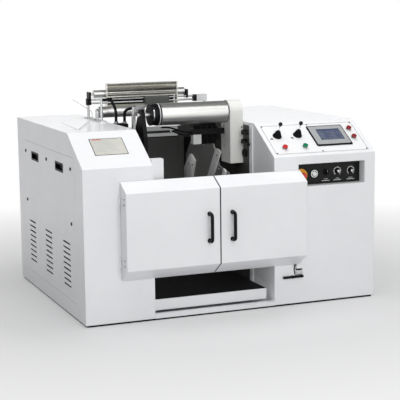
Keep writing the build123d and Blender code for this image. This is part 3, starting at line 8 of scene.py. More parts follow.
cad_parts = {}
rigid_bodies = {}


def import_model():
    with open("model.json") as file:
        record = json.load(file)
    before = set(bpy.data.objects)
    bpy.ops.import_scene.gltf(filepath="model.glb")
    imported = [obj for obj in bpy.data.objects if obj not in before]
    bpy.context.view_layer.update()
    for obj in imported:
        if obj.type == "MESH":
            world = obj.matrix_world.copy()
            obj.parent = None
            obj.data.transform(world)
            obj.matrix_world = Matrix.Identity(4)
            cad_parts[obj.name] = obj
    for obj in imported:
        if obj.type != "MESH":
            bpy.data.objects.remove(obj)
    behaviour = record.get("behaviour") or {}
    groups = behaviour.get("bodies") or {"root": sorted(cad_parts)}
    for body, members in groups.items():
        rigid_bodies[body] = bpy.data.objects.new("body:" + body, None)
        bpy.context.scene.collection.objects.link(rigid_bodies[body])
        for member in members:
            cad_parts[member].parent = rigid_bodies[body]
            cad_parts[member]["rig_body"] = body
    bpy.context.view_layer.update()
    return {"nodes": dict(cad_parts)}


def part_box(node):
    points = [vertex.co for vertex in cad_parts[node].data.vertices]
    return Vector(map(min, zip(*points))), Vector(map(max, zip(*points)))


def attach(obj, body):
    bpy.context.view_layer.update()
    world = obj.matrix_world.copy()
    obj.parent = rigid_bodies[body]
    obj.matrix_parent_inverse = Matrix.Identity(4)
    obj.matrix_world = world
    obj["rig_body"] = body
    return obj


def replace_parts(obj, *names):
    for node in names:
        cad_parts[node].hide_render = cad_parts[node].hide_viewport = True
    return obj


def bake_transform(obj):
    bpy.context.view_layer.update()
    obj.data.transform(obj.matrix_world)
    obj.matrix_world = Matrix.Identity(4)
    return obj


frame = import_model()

# Units: places are in millimetres from the front lower left corner of the cabinets
MM = 0.001
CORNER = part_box("left_cabinet")[0]
SLOPE_FOOT = 1000.0
SLOPE_RISE = 200.0
SLOPE_DEPTH = 322.0
SLOPE_LENGTH = math.hypot(SLOPE_RISE, SLOPE_DEPTH)
SLOPE_UP = Vector((0.0, SLOPE_DEPTH, SLOPE_RISE)) / SLOPE_LENGTH
SLOPE_OUT = Vector((0.0, -SLOPE_RISE, SLOPE_DEPTH)) / SLOPE_LENGTH
ACROSS = Vector((1.0, 0.0, 0.0))
REAR = Vector((0.0, 1.0, 0.0))
UP = Vector((0.0, 0.0, 1.0))


def spot(x, y, z):
    """A place in the machine, in metres in the shared frame."""
    return CORNER + Vector((x, y, z)) * MM


def slope_spot(x, along, out=0.0):
    """A place on the sloped top: across, up the slope, and out from its face."""
    return spot(x, 0.0, SLOPE_FOOT) + (SLOPE_UP * along + SLOPE_OUT * out) * MM


def linked(name, data):
    """A new object in the scene."""
    made = bpy.data.objects.new(name, data)
    bpy.context.scene.collection.objects.link(made)
    return made


# Node trees
def socket(tree, name, kind, value=None, way="INPUT"):
    """A named socket on a node group, with its starting value."""
    made = tree.interface.new_socket(name=name, in_out=way, socket_type=f"NodeSocket{kind}")
    if value is not None:
        made.default_value = value


def new_tree(name, kind, inputs, outputs):
    """A node group; gives it with its inputs' sockets and its output node."""
    tree = bpy.data.node_groups.new(name, kind)
    for label, sort, *value in inputs:
        socket(tree, label, sort, *value)
    for label, sort in outputs:
        socket(tree, label, sort, way="OUTPUT")
    return tree, tree.nodes.new("NodeGroupInput").outputs, tree.nodes.new("NodeGroupOutput")


def feed(tree, value, target):
    """Links a socket into an input, or sets the input to a plain value."""
    if isinstance(value, bpy.types.NodeSocket):
        tree.links.new(value, target)
    else:
        target.default_value = value


def feed_all(tree, node, **values):
    """Feeds a node's inputs by name, with _ for a space."""
    for name, value in values.items():
        feed(tree, value, node.inputs[name.replace("_", " ")])


def node_of(tree, kind, **values):
    """A node with its inputs fed by name; gives its first output."""
    node = tree.nodes.new(kind)
    feed_all(tree, node, **values)
    return node.outputs[0]


def maths(tree, action, first, second, clamp=False):
    """A Math node on values or sockets; gives its result."""
    node = tree.nodes.new("ShaderNodeMath")
    node.operation = action
    node.use_clamp = clamp
    feed(tree, first, node.inputs[0])
    feed(tree, second, node.inputs[1])
    return node.outputs[0]


def noise_of(tree, vector, scale, detail=3.0, roughness=0.5):
    """A noise texture's value over the given coordinates."""
    return node_of(tree, "ShaderNodeTexNoise", Vector=vector, Scale=scale, Detail=detail, Roughness=roughness)


def ranged(tree, value, low, high, to_low, to_high):
    """Maps a value from one range to another, with ends that hold."""
    return node_of(tree, "ShaderNodeMapRange", Value=value, From_Min=low, From_Max=high, To_Min=to_low,
                   To_Max=to_high)


def blended(tree, amount, first, second):
    """Mixes two colours by an amount; each may be a colour or a socket."""
    node = tree.nodes.new("ShaderNodeMix")
    node.data_type = "RGBA"
    tree.links.new(amount, node.inputs["Factor"])
    for name, colour in (("A", first), ("B", second)):
        target = next(s for s in node.inputs if s.name == name and s.type == "RGBA")
        feed(tree, (*colour, 1.0) if isinstance(colour, tuple) else colour, target)
    return next(s for s in node.outputs if s.type == "RGBA")


# Shader groups that several finishes share
def build_soft_edge():
    """Rounds a sharp edge in the shading, and gives a mask of the edge itself."""
    tree, given, result = new_tree("soft_edge", "ShaderNodeTree", [("Radius", "Float", 0.002)],
                                   [("Edge", "Float"), ("Normal", "Vector")])
    bevel = tree.nodes.new("ShaderNodeBevel")
    bevel.samples = 6
    tree.links.new(given["Radius"], bevel.inputs["Radius"])
    flat = tree.nodes.new("ShaderNodeNewGeometry")
    dot = tree.nodes.new("ShaderNodeVectorMath")
    dot.operation = "DOT_PRODUCT"
    tree.links.new(bevel.outputs[0], dot.inputs[0])
    tree.links.new(flat.outputs["Normal"], dot.inputs[1])
    feed_all(tree, result, Edge=ranged(tree, dot.outputs["Value"], 0.98, 0.8, 0.0, 1.0),
             Normal=bevel.outputs[0])
    return tree


def build_coat_texture():
    """The fine ripple of a sprayed coat, with a broad faint cloudiness."""
    tree, given, result = new_tree("coat_texture", "ShaderNodeTree",
                                   [("Vector", "Vector"), ("Ripple Scale", "Float", 260.0)],
                                   [("Height", "Float"), ("Cloud", "Float")])
    feed_all(tree, result, Height=noise_of(tree, given["Vector"], given["Ripple Scale"], 2.0),
             Cloud=noise_of(tree, given["Vector"], 2.3, 4.0, 0.6))
    return tree


def build_tool_marks():
    """Fine scratches drawn out in one direction by stretched noise."""
    tree, given, result = new_tree("tool_marks", "ShaderNodeTree",
                                   [("Vector", "Vector"), ("Stretch", "Vector", (900.0, 20.0, 20.0))],
                                   [("Height", "Float"), ("Streak", "Float")])
    scaled = tree.nodes.new("ShaderNodeVectorMath")
    scaled.operation = "MULTIPLY"
    tree.links.new(given["Vector"], scaled.inputs[0])
    tree.links.new(given["Stretch"], scaled.inputs[1])
    feed_all(tree, result, Height=noise_of(tree, scaled.outputs[0], 1.0, 4.0, 0.6),
             Streak=noise_of(tree, scaled.outputs[0], 0.35, 2.0))
    return tree


def build_handling_wear():
    """Faint smudges and dust where hands and air reach, as a mask from 0 to 1."""
    tree, given, result = new_tree("handling_wear", "ShaderNodeTree",
                                   [("Vector", "Vector"), ("Patch Scale", "Float", 9.0)],
                                   [("Smudge", "Float")])
    patches = noise_of(tree, given["Vector"], given["Patch Scale"], 5.0, 0.65)
    grains = noise_of(tree, given["Vector"], 140.0, 3.0, 0.7)
    mask = maths(tree, "MULTIPLY", ranged(tree, patches, 0.45, 0.75, 0.0, 1.0),
                 ranged(tree, grains, 0.35, 0.7, 0.4, 1.0))
    feed_all(tree, result, Smudge=mask)
    return tree


SOFT_EDGE = build_soft_edge()
COAT_TEXTURE = build_coat_texture()
TOOL_MARKS = build_tool_marks()
HANDLING_WEAR = build_handling_wear()


def use_group(tree, group, **values):
    """Places a shared group in a material; values are numbers, vectors or sockets."""
    node = tree.nodes.new("ShaderNodeGroup")
    node.node_tree = group
    feed_all(tree, node, **values)
    return node.outputs


def start_material(name):
    """A material with its Principled shader, its tree and its Object coordinates."""
    material = bpy.data.materials.new(name)
    material.use_nodes = True
    tree = material.node_tree
    shader = tree.nodes["Principled BSDF"]
    place = tree.nodes.new("ShaderNodeTexCoord").outputs["Object"]
    return material, tree, shader, place


def bump(tree, shader, height, strength, distance, **normal):
    """Raises the surface by a height socket, on top of a given Normal."""
    raised = node_of(tree, "ShaderNodeBump", Height=height, Strength=strength, Distance=distance, **normal)
    tree.links.new(raised, shader.inputs["Normal"])


def enamel(name, colour, roughness=0.28, ripple=0.12, edge=0.003, coat=0.35, edge_tint=0.06, shine=0.5):
    """Sprayed and baked paint on sheet metal, with rounded bends and a faint orange peel."""
    material, tree, shader, place = start_material(name)
    rounded = use_group(tree, SOFT_EDGE, Radius=edge)
    texture = use_group(tree, COAT_TEXTURE, Vector=place)
    wear = use_group(tree, HANDLING_WEAR, Vector=place)
    dull = tuple(c * 0.965 for c in colour)
    worn = tuple(c * (1 - edge_tint) for c in colour)
    base = blended(tree, ranged(tree, texture["Cloud"], 0.35, 0.7, 0.0, 1.0), colour, dull)
    smudged = maths(tree, "MULTIPLY", wear["Smudge"], 0.05)
    base = blended(tree, smudged, base, tuple(c * 0.75 for c in colour))
    base = blended(tree, maths(tree, "MULTIPLY", rounded["Edge"], 0.6), base, worn)
    feed_all(tree, shader, Base_Color=base, Coat_Weight=coat, Coat_Roughness=0.12, Specular_IOR_Level=shine,
             Roughness=ranged(tree, wear["Smudge"], 0.0, 1.0, roughness, roughness + 0.14))
    bump(tree, shader, texture["Height"], ripple, 0.0006, Normal=rounded["Normal"])
    return material


def metal(name, colour, roughness, stretch, marks=0.15, edge=0.0012, spread=0.12):
    """Bare metal with the scratches of its last tool drawn along one direction."""
    material, tree, shader, place = start_material(name)
    rounded = use_group(tree, SOFT_EDGE, Radius=edge)
    texture = use_group(tree, TOOL_MARKS, Vector=place, Stretch=stretch)
    wear = use_group(tree, HANDLING_WEAR, Vector=place)
    dark = tuple(c * 0.82 for c in colour)
    base = blended(tree, ranged(tree, texture["Streak"], 0.3, 0.7, 0.0, 1.0), dark, colour)
    base = blended(tree, rounded["Edge"], base, tuple(min(1.0, c * 1.12) for c in colour))
    streaked = ranged(tree, texture["Height"], 0.3, 0.7, roughness, roughness + spread)
    smudged = maths(tree, "MULTIPLY", wear["Smudge"], 0.06)
    feed_all(tree, shader, Base_Color=base, Metallic=1.0,
             Roughness=maths(tree, "ADD", streaked, smudged, clamp=True))
    bump(tree, shader, texture["Height"], marks, 0.0003, Normal=rounded["Normal"])
    return material


def plastic(name, colour, roughness, grain=500.0, depth=0.2, edge=0.0015, coat=0.0, pale_edge=0.25,
            shine=0.5):
    """Moulded plastic or rubber with a fine spark texture and paler rubbed edges."""
    material, tree, shader, place = start_material(name)
    rounded = use_group(tree, SOFT_EDGE, Radius=edge)
    texture = use_group(tree, COAT_TEXTURE, Vector=place, Ripple_Scale=grain)
    wear = use_group(tree, HANDLING_WEAR, Vector=place, Patch_Scale=22.0)
    rubbed = tuple(min(1.0, c * 1.6 + 0.02) for c in colour)
    base = blended(tree, maths(tree, "MULTIPLY", rounded["Edge"], pale_edge), colour, rubbed)
    base = blended(tree, maths(tree, "MULTIPLY", wear["Smudge"], 0.25), base, rubbed)
    feed_all(tree, shader, Base_Color=base, Coat_Weight=coat, Specular_IOR_Level=shine,
             Roughness=ranged(tree, wear["Smudge"], 0.0, 1.0, roughness, min(1.0, roughness + 0.15)))
    bump(tree, shader, texture["Height"], depth, 0.0004, Normal=rounded["Normal"])
    return material


WHITE_ENAMEL = enamel("white_enamel", (0.84, 0.845, 0.86))
# Near-black paint that stands in for the shade deep inside the bay; it also draws the dark joints of the back
# panels.
SHADOW_ENAMEL = enamel("bay_enamel", (0.050, 0.052, 0.048), 0.5, coat=0.0, shine=0.3)
BEIGE_ENAMEL = enamel("beige_enamel", (0.78, 0.775, 0.745), 0.4)
GREY_ENAMEL = enamel("grey_enamel", (0.28, 0.29, 0.30), 0.4)
BLACK_ENAMEL = enamel("black_enamel", (0.006, 0.006, 0.007), 0.4, coat=0.0, edge_tint=-2.0, shine=0.1)
CONSOLE_WHITE = enamel("console_white", (0.88, 0.88, 0.885), 0.22, 0.05, 0.0008, 0.5)
CAST_IRON = metal("machined_casting", (0.17, 0.172, 0.175), 0.42, (60.0, 60.0, 60.0), 0.4, 0.002)
TURNED_STEEL = metal("turned_steel", (0.60, 0.60, 0.61), 0.2, (900.0, 14.0, 14.0))
ROLLER_CHROME = metal("roller_chrome", (0.80, 0.80, 0.78), 0.3, (6.0, 700.0, 700.0), 0.06, 0.001, 0.07)
BRIGHT_CHROME = metal("bright_chrome", (0.82, 0.83, 0.84), 0.07, (300.0, 300.0, 300.0), 0.05, 0.0006, 0.06)
SATIN_ALUMINIUM = metal("satin_aluminium", (0.62, 0.63, 0.64), 0.3, (12.0, 500.0, 500.0))
ANODISED = metal("anodised_rail", (0.58, 0.56, 0.485), 0.24, (7.0, 600.0, 600.0), 0.04, spread=0.06)
BLACK_PLASTIC = plastic("black_plastic", (0.005, 0.005, 0.006), 0.4, pale_edge=0.1, shine=0.12)
BLACK_GLOSS = plastic("black_gloss", (0.005, 0.006, 0.005), 0.2, 300.0, 0.05, pale_edge=0.1, shine=0.2)
BLACK_RUBBER = plastic("black_rubber", (0.006, 0.006, 0.007), 0.62, 350.0, 0.35, pale_edge=0.12, shine=0.1)
GREY_PLASTIC = plastic("grey_plastic", (0.42, 0.44, 0.45), 0.42)
PALE_PLASTIC = plastic("pale_plastic", (0.62, 0.63, 0.62), 0.42)
RED_CAP = plastic("red_cap", (0.56, 0.018, 0.016), 0.22, 200.0, 0.05, coat=0.5)
DARK_RED_CAP = plastic("dark_red_cap", (0.26, 0.015, 0.018), 0.22, 200.0, 0.05, coat=0.5)
GREEN_CAP = plastic("green_cap", (0.0, 0.19, 0.085), 0.22, 200.0, 0.05, coat=0.5)
YELLOW_PLATE = plastic("yellow_plate", (0.80, 0.36, 0.012), 0.4)
DISPLAY = plastic("display", (0.085, 0.10, 0.155), 0.2, 60.0, 0.0, shine=0.4)
CREAM_PLATE = plastic("cream_plate", (0.56, 0.55, 0.50), 0.35, 300.0, 0.05)
SCREEN_FACE = plastic("screen_face", (0.36, 0.37, 0.375), 0.4)
SCREEN_BLUE = plastic("screen_blue", (0.05, 0.075, 0.16), 0.3, 60.0, 0.0)
SCREEN_PALE = plastic("screen_pale", (0.13, 0.15, 0.21), 0.3, 60.0, 0.0)
DARK_LINE = plastic("dark_line", (0.03, 0.03, 0.032), 0.5)
WHITE_INK = plastic("white_ink", (0.75, 0.75, 0.74), 0.5, 200.0, 0.05)
# Light grey paint of the bay's crossbars, darker than the frame's white partly as painted shade of the bay.
BAR_SHADED_ENAMEL = enamel("bar_enamel", (0.62, 0.625, 0.62), 0.5, coat=0.0)
LINK_ENAMEL = enamel("link_enamel", (0.74, 0.745, 0.73), 0.4, coat=0.0)
# Pale metal for the reed plate's ends, also drawn as painted highlight lines on the plate.
PALE_METAL_AND_HIGHLIGHT = metal("bright_edge", (0.78, 0.77, 0.74), 0.22, (8.0, 500.0, 500.0), 0.08)
PLATE_GREY = enamel("plate_grey", (0.19, 0.192, 0.185), 0.45, coat=0.0)
CARRIAGE_GREY = enamel("carriage_grey", (0.085, 0.09, 0.085), 0.4, coat=0.0, shine=0.3)
MARK_GREY = plastic("mark_grey", (0.12, 0.12, 0.125), 0.5)

NODE_FINISH = (
    (BLACK_RUBBER, "air_hoses drive_belt joystick_boots levelling_feet lift_mat"),
    (WHITE_ENAMEL, "base_frame left_cabinet left_door lift_table recess_tray right_cabinet right_door "
                   "service_panels"),
    (SHADOW_ENAMEL, "bay_liners"),
    (CAST_IRON, "bearing_housings headstock_plate tailstock_housing"),
    (BLACK_PLASTIC, "black_fittings left_door_handle lower_clamp_lever right_door_handle selector_knob "
                    "speed_knob_1 speed_knob_2 upper_clamp_lever yarn_monitor"),
    (SATIN_ALUMINIUM, "brake_cylinder reed_stands"),
    (BRIGHT_CHROME, "button_bezels door_hardware guide_rods joystick_1 joystick_2 key_barrel lift_guides "
                    "tail_quill"),
    (CONSOLE_WHITE, "console_plate"),
    (GREY_ENAMEL, "drive_motor"),
    (GREEN_CAP, "green_button"),
    (TURNED_STEEL, "head_spindle motor_pulley reed_comb tail_chuck"),
    (BLACK_GLOSS, "instrument_panel"),
    (BLACK_ENAMEL, "latch_lever left_arm reed_carriage rod_blocks roller_discs"),
    (DARK_RED_CAP, "lower_button upper_button"),
    (ROLLER_CHROME, "lower_roller measuring_roller upper_roller"),
    (RED_CAP, "red_button stop_button"),
    (ANODISED, "reed_plate"),
    (BEIGE_ENAMEL, "right_arm_cover"),
    (GREY_PLASTIC, "screen_frame"),
    (DISPLAY, "screen_glass"),
)
for finish, nodes in NODE_FINISH:
    for node_name in nodes.split():
        node_mesh = frame["nodes"][node_name].data
        node_mesh.materials.clear()
        node_mesh.materials.append(finish)


# Making pieces
def place_piece(name, mesh, material, body):
    """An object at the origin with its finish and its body."""
    made = linked(name, mesh)
    mesh.materials.clear()
    mesh.materials.append(material)
    if body:
        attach(made, body)
    return made


def mesh_of(name, bm, sharp=35.0):
    """Turns a bmesh into a mesh with outward faces, smooth but for its sharp edges."""
    bmesh.ops.remove_doubles(bm, verts=bm.verts, dist=1e-6)
    bmesh.ops.recalc_face_normals(bm, faces=bm.faces)
    mesh = bpy.data.meshes.new(name)
    bm.to_mesh(mesh)
    bm.free()
    mesh.shade_smooth()
    mesh.set_sharp_from_angle(angle=math.radians(sharp))
    return mesh


def frame_of(axis, across=UP):
    """Two directions square to an axis, for turning a profile round it."""
    axis = Vector(axis).normalized()
    if abs(axis.dot(across)) > 0.95:
        across = ACROSS
    side = across.cross(axis).normalized()
    return side, axis.cross(side).normalized()


def circle(count, start=0.0):
    """Cosines and sines of evenly spaced angles."""
    angles = [start + 2 * math.pi * i / count for i in range(count)]
    return [(math.cos(angle), math.sin(angle)) for angle in angles]


def turn(bm, foot, axis, profile, sides):
    """Adds a turned form: profile gives radius and distance along the axis, in millimetres."""
    axis = Vector(axis).normalized()
    first, second = frame_of(axis)
    rings = []
    for radius, along in profile:
        middle = foot + axis * along * MM
        if radius < 1e-4:
            rings.append([bm.verts.new(middle)])
            continue
        rings.append([bm.verts.new(middle + (first * c + second * s) * radius * MM)
                      for c, s in circle(sides)])
    for low, high in zip(rings, rings[1:]):
        for i in range(sides):
            following = (i + 1) % sides
            if len(low) == 1 and len(high) == 1:
                break
            if len(low) == 1:
                bm.faces.new((low[0], high[following], high[i]))
            elif len(high) == 1:
                bm.faces.new((low[i], low[following], high[0]))
            else:
                bm.faces.new((low[i], low[following], high[following], high[i]))
    for ring in (rings[0], rings[-1]):
        if len(ring) > 1:
            bm.faces.new(ring)


def turned_piece(name, foot, axis, profile, material, body, sides, sharp=35.0):
    """A turned piece of its own."""
    bm = bmesh.new()
    turn(bm, foot, axis, profile, sides)
    return place_piece(name, mesh_of(name, bm, sharp), material, body)


def ring_profile(inner, outer, low, high, lip=0.6):
    """The closed section of a flat ring with softened outer edges."""
    return [(inner, low), (outer - lip, low), (outer, low + lip), (outer, high - lip), (outer - lip, high),
            (inner, high), (inner, low)]


def turned_ring(name, foot, axis, section, material, body, sides):
    """A ring turned from a closed section, with no caps."""
    bm = bmesh.new()
    axis = Vector(axis).normalized()
    first, second = frame_of(axis)
    loops = [[bm.verts.new(foot + (axis * along + (first * c + second * s) * radius) * MM)
              for radius, along in section[:-1]] for c, s in circle(sides)]
    count = len(section) - 1
    for i in range(sides):
        here, after = loops[i], loops[(i + 1) % sides]
        for k in range(count):
            bm.faces.new((here[k], after[k], after[(k + 1) % count], here[(k + 1) % count]))
    return place_piece(name, mesh_of(name, bm), material, body)


def add_block(bm, foot, along, across, out, length, width, height, bevel):
    """Adds a block with its low corner at foot and three edge directions, sizes in millimetres."""
    ends = [(foot + (along * i * length + across * j * width + out * k * height) * MM)
            for k in (0, 1) for j in (0, 1) for i in (0, 1)]
    verts = [bm.verts.new(p) for p in ends]
    faces = [bm.faces.new([verts[i] for i in corner]) for corner in
             ((0, 1, 3, 2), (4, 6, 7, 5), (0, 4, 5, 1), (1, 5, 7, 3), (3, 7, 6, 2), (2, 6, 4, 0))]
    if bevel:
        edges = list({edge for face in faces for edge in face.edges})
        bmesh.ops.bevel(bm, geom=edges, offset=bevel * MM, segments=3, profile=0.5, affect="EDGES")


def tube_piece(name, points, radius, material, body):
    """A bent bar or tube along a smooth line through points, with closed ends."""
    curve = bpy.data.curves.new(name, "CURVE")
    curve.dimensions = "3D"
    curve.bevel_depth = radius * MM
    curve.bevel_resolution = 5
    curve.use_fill_caps = True
    spline = curve.splines.new("NURBS")
    spline.points.add(len(points) - 1)
    for point, place in zip(spline.points, points):
        point.co = (*place, 1.0)
    spline.order_u = 3
    spline.use_endpoint_u = True
    spline.resolution_u = 10
    holder = linked(name, curve)
    mesh = bpy.data.meshes.new_from_object(holder.evaluated_get(bpy.context.evaluated_depsgraph_get()))
    bpy.data.objects.remove(holder)
    bpy.data.curves.remove(curve)
    bm = bmesh.new()
    bm.from_mesh(mesh)
    bpy.data.meshes.remove(mesh)
    return place_piece(name, mesh_of(name, bm, 60.0), material, body)


def finished_copy(node, material, bevel=0.0, regions=()):
    """A clean copy of a CAD node with smooth faces and, where asked, rounded edges and painted regions."""
    source = frame["nodes"][node]
    bm = bmesh.new()
    bm.from_mesh(source.data)
    bmesh.ops.remove_doubles(bm, verts=bm.verts, dist=1e-5)
    bmesh.ops.dissolve_limit(bm, angle_limit=math.radians(0.5), verts=bm.verts, edges=bm.edges)
    copy = place_piece(f"{node}_dressed", mesh_of(node, bm), material, source["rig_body"])
    for number, (finish, inside) in enumerate(regions, start=1):
        copy.data.materials.append(finish)
        for face in copy.data.polygons:
            if inside(face.center):
                face.material_index = number
    if bevel:
        rounding = copy.modifiers.new("rounding", "BEVEL")
        rounding.width = bevel * MM
        rounding.segments = 3
        rounding.limit_method = "ANGLE"
        rounding.angle_limit = math.radians(35.0)
        rounding.harden_normals = True
    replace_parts(copy, node)


# Geometry Nodes: pieces that repeat
def new_grower(name, *inputs):
    """A Geometry Nodes tree that grows pieces on points, with its named inputs."""
    return new_tree(name, "GeometryNodeTree", [("Geometry", "Geometry"), *inputs],
                    [("Geometry", "Geometry")])


def vector_of(tree, x=0.0, y=0.0, z=0.0):
    """A vector from three values or sockets."""
    return node_of(tree, "ShaderNodeCombineXYZ", X=x, Y=y, Z=z)


def joined(tree, *parts):
    """Several geometries as one."""
    node = tree.nodes.new("GeometryNodeJoinGeometry")
    for part in parts:
        tree.links.new(part, node.inputs[0])
    return node.outputs[0]


def repeated(tree, points, instance, **inputs):
    """An instance on every point."""
    return node_of(tree, "GeometryNodeInstanceOnPoints", Points=points, Instance=instance, **inputs)


def aligned(tree, vector, axis):
    """The rotation that turns an axis to a vector."""
    node = tree.nodes.new("FunctionNodeAlignRotationToVector")
    node.axis = axis
    tree.links.new(vector, node.inputs["Vector"])
    return node.outputs[0]


def facing_rotation(tree):
    """The rotation that turns Z to the way each point faces."""
    facing = tree.nodes.new("GeometryNodeInputNamedAttribute")
    facing.data_type = "FLOAT_VECTOR"
    facing.inputs["Name"].default_value = "facing"
    return aligned(tree, facing.outputs[0], "Z")


def build_screw_heads():
    """Socket-head screws on points, each turned to its surface and to its own angle."""
    tree, given, result = new_grower(
        "screw_heads", ("Head Radius", "Float", 0.004), ("Head Height", "Float", 0.002),
        ("Metal", "Material"), ("Recess", "Material"),
        ("Seed", "Int", 3))
    radius, height = given["Head Radius"], given["Head Height"]
    head = node_of(tree, "GeometryNodeMeshCylinder", Vertices=24, Radius=radius, Depth=height)
    crown = node_of(tree, "GeometryNodeMeshCone", Vertices=24, Radius_Bottom=radius,
                    Radius_Top=maths(tree, "MULTIPLY", radius, 0.72),
                    Depth=maths(tree, "MULTIPLY", height, 0.45))
    lifted = node_of(tree, "GeometryNodeTransform", Geometry=crown,
                     Translation=vector_of(tree, z=maths(tree, "MULTIPLY", height, 0.5)))
    hole = node_of(tree, "GeometryNodeMeshCylinder", Vertices=6, Radius=maths(tree, "MULTIPLY", radius, 0.45),
                   Depth=height)
    sunk = node_of(tree, "GeometryNodeTransform", Geometry=hole,
                   Translation=vector_of(tree, z=maths(tree, "MULTIPLY", height, 0.48)))
    metal_part = node_of(tree, "GeometryNodeSetMaterial", Geometry=joined(tree, lifted, head),
                         Material=given["Metal"])
    hole_part = node_of(tree, "GeometryNodeSetMaterial", Geometry=sunk, Material=given["Recess"])
    chance = tree.nodes.new("FunctionNodeRandomValue")
    chance.data_type = "FLOAT"
    tree.links.new(given["Seed"], chance.inputs["Seed"])
    angle = maths(tree, "MULTIPLY", next(s for s in chance.outputs if s.type == "VALUE"), 2 * math.pi)
    turned = tree.nodes.new("FunctionNodeRotateRotation")
    turned.rotation_space = "LOCAL"
    tree.links.new(facing_rotation(tree), turned.inputs["Rotation"])
    twist = node_of(tree, "FunctionNodeEulerToRotation", Euler=vector_of(tree, z=angle))
    tree.links.new(twist, turned.inputs["Rotate By"])
    spread = repeated(tree, given["Geometry"], joined(tree, metal_part, hole_part),
                      Rotation=turned.outputs[0])
    tree.links.new(node_of(tree, "GeometryNodeRealizeInstances", Geometry=spread), result.inputs[0])
    return tree


def build_dial_marks():
    """Short strokes on an arc round a dial, on each point, longer at every fifth."""
    tree, given, result = new_grower(
        "dial_marks", ("Radius", "Float", 0.026), ("Marks", "Int", 11),
        ("Stroke Length", "Float", 0.005), ("Stroke Width", "Float", 0.001),
        ("Ink", "Material"))
    arc = node_of(tree, "GeometryNodeCurveArc", Resolution=given["Marks"], Radius=given["Radius"],
                  Start_Angle=math.radians(-50.0), Sweep_Angle=math.radians(280.0))
    index = node_of(tree, "GeometryNodeInputIndex")
    fifth = maths(tree, "LESS_THAN", maths(tree, "MODULO", index, 5.0), 0.5)
    longer = maths(tree, "ADD", 1.0, maths(tree, "MULTIPLY", fifth, 0.5))
    width = given["Stroke Width"]
    stroke = node_of(tree, "GeometryNodeMeshCube", Size=vector_of(tree, given["Stroke Length"], width, width))
    outward = aligned(tree, node_of(tree, "GeometryNodeInputPosition"), "X")
    marks = repeated(tree, arc, stroke, Rotation=outward, Scale=vector_of(tree, longer, 1.0, 1.0))
    spread = repeated(tree, given["Geometry"], marks, Rotation=facing_rotation(tree))
    real = node_of(tree, "GeometryNodeRealizeInstances", Geometry=spread)
    inked = node_of(tree, "GeometryNodeSetMaterial", Geometry=real, Material=given["Ink"])
    tree.links.new(inked, result.inputs[0])
    return tree


def build_wire_row():
    """A row of upright wires of one height, spaced along X from each point."""
    tree, given, result = new_grower(
        "wire_row", ("Count", "Int", 100), ("Pitch", "Float", 0.003),
        ("Height", "Float", 0.06), ("Width", "Float", 0.0006),
        ("Depth", "Float", 0.004), ("Metal", "Material"))
    line = node_of(tree, "GeometryNodeMeshLine", Count=given["Count"], Offset=vector_of(tree, given["Pitch"]))
    size = vector_of(tree, given["Width"], given["Depth"], given["Height"])
    row = repeated(tree, line, node_of(tree, "GeometryNodeMeshCube", Size=size))
    spread = repeated(tree, given["Geometry"], row)
    real = node_of(tree, "GeometryNodeRealizeInstances", Geometry=spread)
    shone = node_of(tree, "GeometryNodeSetMaterial", Geometry=real, Material=given["Metal"])
    tree.links.new(shone, result.inputs[0])
    return tree


def grown_piece(name, places, tree, body, slot, **inputs):
    """Grows a tree's pieces on places, each with the way it faces, and keeps the plain mesh."""
    seeds = bpy.data.meshes.new(name)
    seeds.from_pydata([place for place, facing in places], [], [])
    ways = seeds.attributes.new("facing", "FLOAT_VECTOR", "POINT")
    for item, (place, facing) in zip(ways.data, places):
        item.vector = facing
    made = linked(name, seeds)
    modifier = made.modifiers.new("grow", "NODES")
    modifier.node_group = tree
    for item in tree.interface.items_tree:
        key = item.name.replace(" ", "_")
        if item.item_type == "SOCKET" and item.in_out == "INPUT" and key in inputs:
            modifier[item.identifier] = inputs[key]
    depsgraph = bpy.context.evaluated_depsgraph_get()
    plain = bpy.data.meshes.new_from_object(made.evaluated_get(depsgraph), depsgraph=depsgraph)
    made.modifiers.remove(modifier)
    made.data = plain
    plain.name = name
    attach(made, body)


SCREW_HEADS = build_screw_heads()
DIAL_MARKS = build_dial_marks()
WIRE_ROW = build_wire_row()


def screws(name, places, radius, height, body, finish=BRIGHT_CHROME, slot="hard_chrome"):
    """Small screws at places, each with the way it faces."""
    grown_piece(name, places, SCREW_HEADS, body, slot, Head_Radius=radius * MM,
                Head_Height=height * MM, Metal=finish, Recess=BLACK_PLASTIC)


# Shapes that follow the machine's own directions
FACE_Y = 72
REAR_FACE = 1645
ROLLER_Y, ROLLER_Z = 577, 1268
BEAM_Y, BEAM_Z = 560, 640
SPEED_DIALS = ((1828, 874), (1931, 873))
FRONT = -REAR
RIGHT_SIDE = ACROSS
LEFT_SIDE = -ACROSS


def across_mm(place):
    """Where a point lies across the machine, from the left side, in millimetres."""
    return (place.x - CORNER.x) / MM


def height_mm(place):
    """How high a point lies over the cabinets' lower edge, in millimetres."""
    return (place.z - CORNER.z) / MM


def plain_block(bm, x0, x1, y0, y1, z0, z1, bevel):
    """Adds a block between two corners in the cabinet's measures."""
    add_block(bm, spot(x0, y0, z0), ACROSS, REAR, UP, x1 - x0, y1 - y0, z1 - z0, bevel)


def blocks_piece(name, boxes, material, body, bevel=0.5):
    """Several blocks as one piece."""
    bm = bmesh.new()
    for box in boxes:
        plain_block(bm, *box, bevel)
    return place_piece(name, mesh_of(name, bm, 50), material, body)


def slope_blocks(name, pads, material):
    """Flat blocks on the sloped top, each by its middle, its sizes, its low face and its height."""
    bm = bmesh.new()
    for x, along, width, length, low, height in pads:
        foot = slope_spot(x - width / 2, along - length / 2, low)
        add_block(bm, foot, ACROSS, SLOPE_UP, SLOPE_OUT, width, length, height, 0)
    place_piece(name, mesh_of(name, bm, 50), material, "frame")


